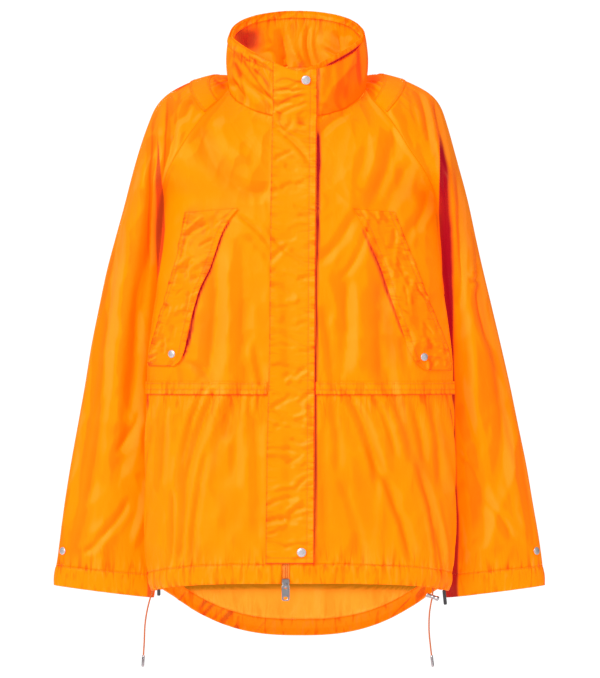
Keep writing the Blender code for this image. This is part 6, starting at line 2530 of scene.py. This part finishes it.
@dataclass
class ZipFastener:
    """The zip: its tape, its teeth, the slider and the hinged pull."""

    finishes: Finishes

    @staticmethod
    def up_collar(height: float, offset: float, lift: float = 0.0) -> Vector:
        """A point of the zip behind the collar, at an offset from the zip's middle and a lift off the tape.

        Args:
            height: From 0 at the neckline to 1 at the rim.
            offset: The distance from the zip's middle.
            lift: How far it is off the tape.

        Returns:
            The point.
        """
        point = Form.collar_front_at(ZIP_X + offset, height)
        inward = Vector((NECK_CENTRE.x - point.x, NECK_CENTRE.y - point.y, 0)).normalized()
        return point + inward * (TAPE_BEHIND + BEHIND_COLLAR - lift)

    @staticmethod
    def down_front(level: float, offset: float, lift: float = 0.0) -> Vector:
        """A point of the zip behind the fronts, at an offset from the zip's middle and a lift off the tape.

        Args:
            level: The level, from 0 at the neckline.
            offset: The distance from the zip's middle.
            lift: How far it is off the tape.

        Returns:
            The point.
        """
        point = Form.body_point(Face.FRONT, level, Form.middle_angle(level, ZIP_X + offset), 1.0)
        behind = TAPE_AT_HEM if level > CASING_TOP else TAPE_BEHIND + (BEHIND_NECK if level < 3 else 0.0)
        return point + Vector((0, behind - lift, 0))

    def make_tape(self) -> None:
        """Build the woven tape, which is narrower where the hem's ends stand apart."""
        shares = [2 * share - 1 for share in fractions(8)]
        rows = [[self.up_collar(height, share * TAPE_HALF) for share in shares] for height in steps(0.98, 0.05, 24)]
        for half, levels in ((TAPE_HALF, steps(1, CASING_TOP - 0.7, 90)),
                             (ZIP_GAP - 0.0006, steps(CASING_TOP - 0.3, HEM - 0.1, 14))):
            rows += [[self.down_front(level, share * half) for share in shares] for level in levels]
        tape = Cloth("zip_tape", rows, CORE)
        wall(tape, 0.0010, (self.finishes.tape,))

    def make_teeth(self) -> None:
        """Build the teeth with the stitch tree, as short bars side by side in two rows."""
        teeth = Sewing(self.finishes.teeth)
        for shift in (-TEETH_APART, TEETH_APART):
            teeth.add([self.up_collar(height, shift, TEETH_LIFT) for height in steps(0.97, 0.06, 30)]
                      + [self.down_front(level, shift, TEETH_LIFT) for level in steps(1, HEM - 0.12, 160)])
        piece = teeth.make("zip_teeth", BODY, 0.0016, 0.0010, 0.0024, "zip_tape")
        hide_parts("zip_chain")

    @staticmethod
    def outline(half: float, top: float, bottom: float, radius: float, sides: int) -> list[tuple[float, float]]:
        """Corners of an upright rectangle with round corners.

        Args:
            half: Half the width.
            top: The height of the top.
            bottom: The height of the bottom.
            radius: The corners' radius.
            sides: How many sides a corner has.

        Returns:
            The corners, as pairs of x and z.
        """
        points = []
        for x, z, start in ((half, bottom, -90), (half, top, 0), (-half, top, 90), (-half, bottom, 180)):
            cx = x - math.copysign(radius, x)
            cz = z - radius if z == top else z + radius
            for i in range(sides + 1):
                angle = math.radians(start + 90 * i / sides)
                points.append((cx + radius * math.cos(angle), cz + radius * math.sin(angle)))
        return points

    def make_pull(self) -> None:
        """Build the pull: a plate with a small round hole above and a wide one below."""
        top = 0.0013
        edge = self.outline(PULL_WIDTH / 2, top, top - PULL_LENGTH, 0.0030, 8)
        upper = self.outline(0.0022, -0.0010, -0.0046, 0.0016, 6)
        lower = self.outline(0.0029, top - PULL_LENGTH + 0.0056, top - PULL_LENGTH + 0.0018, 0.0017, 6)
        bm = bmesh.new()
        edges = []
        for line in (edge, upper, lower):
            verts = [bm.verts.new((x, -PULL_THICKNESS / 2, z)) for x, z in line]
            edges += [bm.edges.new((a, b)) for a, b in zip(verts, verts[1:] + verts[:1])]
        filled = bmesh.ops.triangle_fill(bm, use_beauty=True, use_dissolve=False, edges=edges)
        faces = [item for item in filled["geom"] if isinstance(item, bmesh.types.BMFace)]
        extruded = bmesh.ops.extrude_face_region(bm, geom=faces)
        moved = [item for item in extruded["geom"] if isinstance(item, bmesh.types.BMVert)]
        bmesh.ops.translate(bm, verts=moved, vec=(0, PULL_THICKNESS, 0))
        bmesh.ops.recalc_face_normals(bm, faces=bm.faces[:])
        bmesh.ops.translate(bm, verts=bm.verts[:], vec=PULL_AXIS)
        mesh = bpy.data.meshes.new("pull_plate")
        bm.to_mesh(mesh)
        bm.free()
        mesh.materials.append(self.finishes.nickel)
        pull = link("pull_plate", mesh)
        bevel = pull.modifiers.new("edges", "BEVEL")
        bevel.width = 0.00035
        bevel.segments = 2
        bevel.limit_method = "ANGLE"
        report(stand_for(pull, "zip_pull", PULL_BODY))

    def make(self) -> None:
        """Build the zip."""
        self.make_tape()
        self.make_teeth()
        self.make_pull()
        for place in bpy.data.objects["zip_slider"].material_slots:
            place.material = self.finishes.nickel


def main() -> None:
    """Build the studio and the jacket's pieces in order."""
    Studio().make()
    finishes = Finishes.build()
    sewing = Sewing(finishes.stitch)
    Drawcords(finishes).make()
    Body(finishes, sewing).make()
    Sleeves(finishes, sewing).make()
    Collar(finishes, sewing).make()
    FrontTrims(finishes, sewing).make()
    sewing.make("sewing_lines", BODY, 0.0034, 0.0024, 0.0006)
    ZipFastener(finishes).make()
    Snaps(finishes).make()
    log.info("size written")


if __name__ == "__main__":
    main()
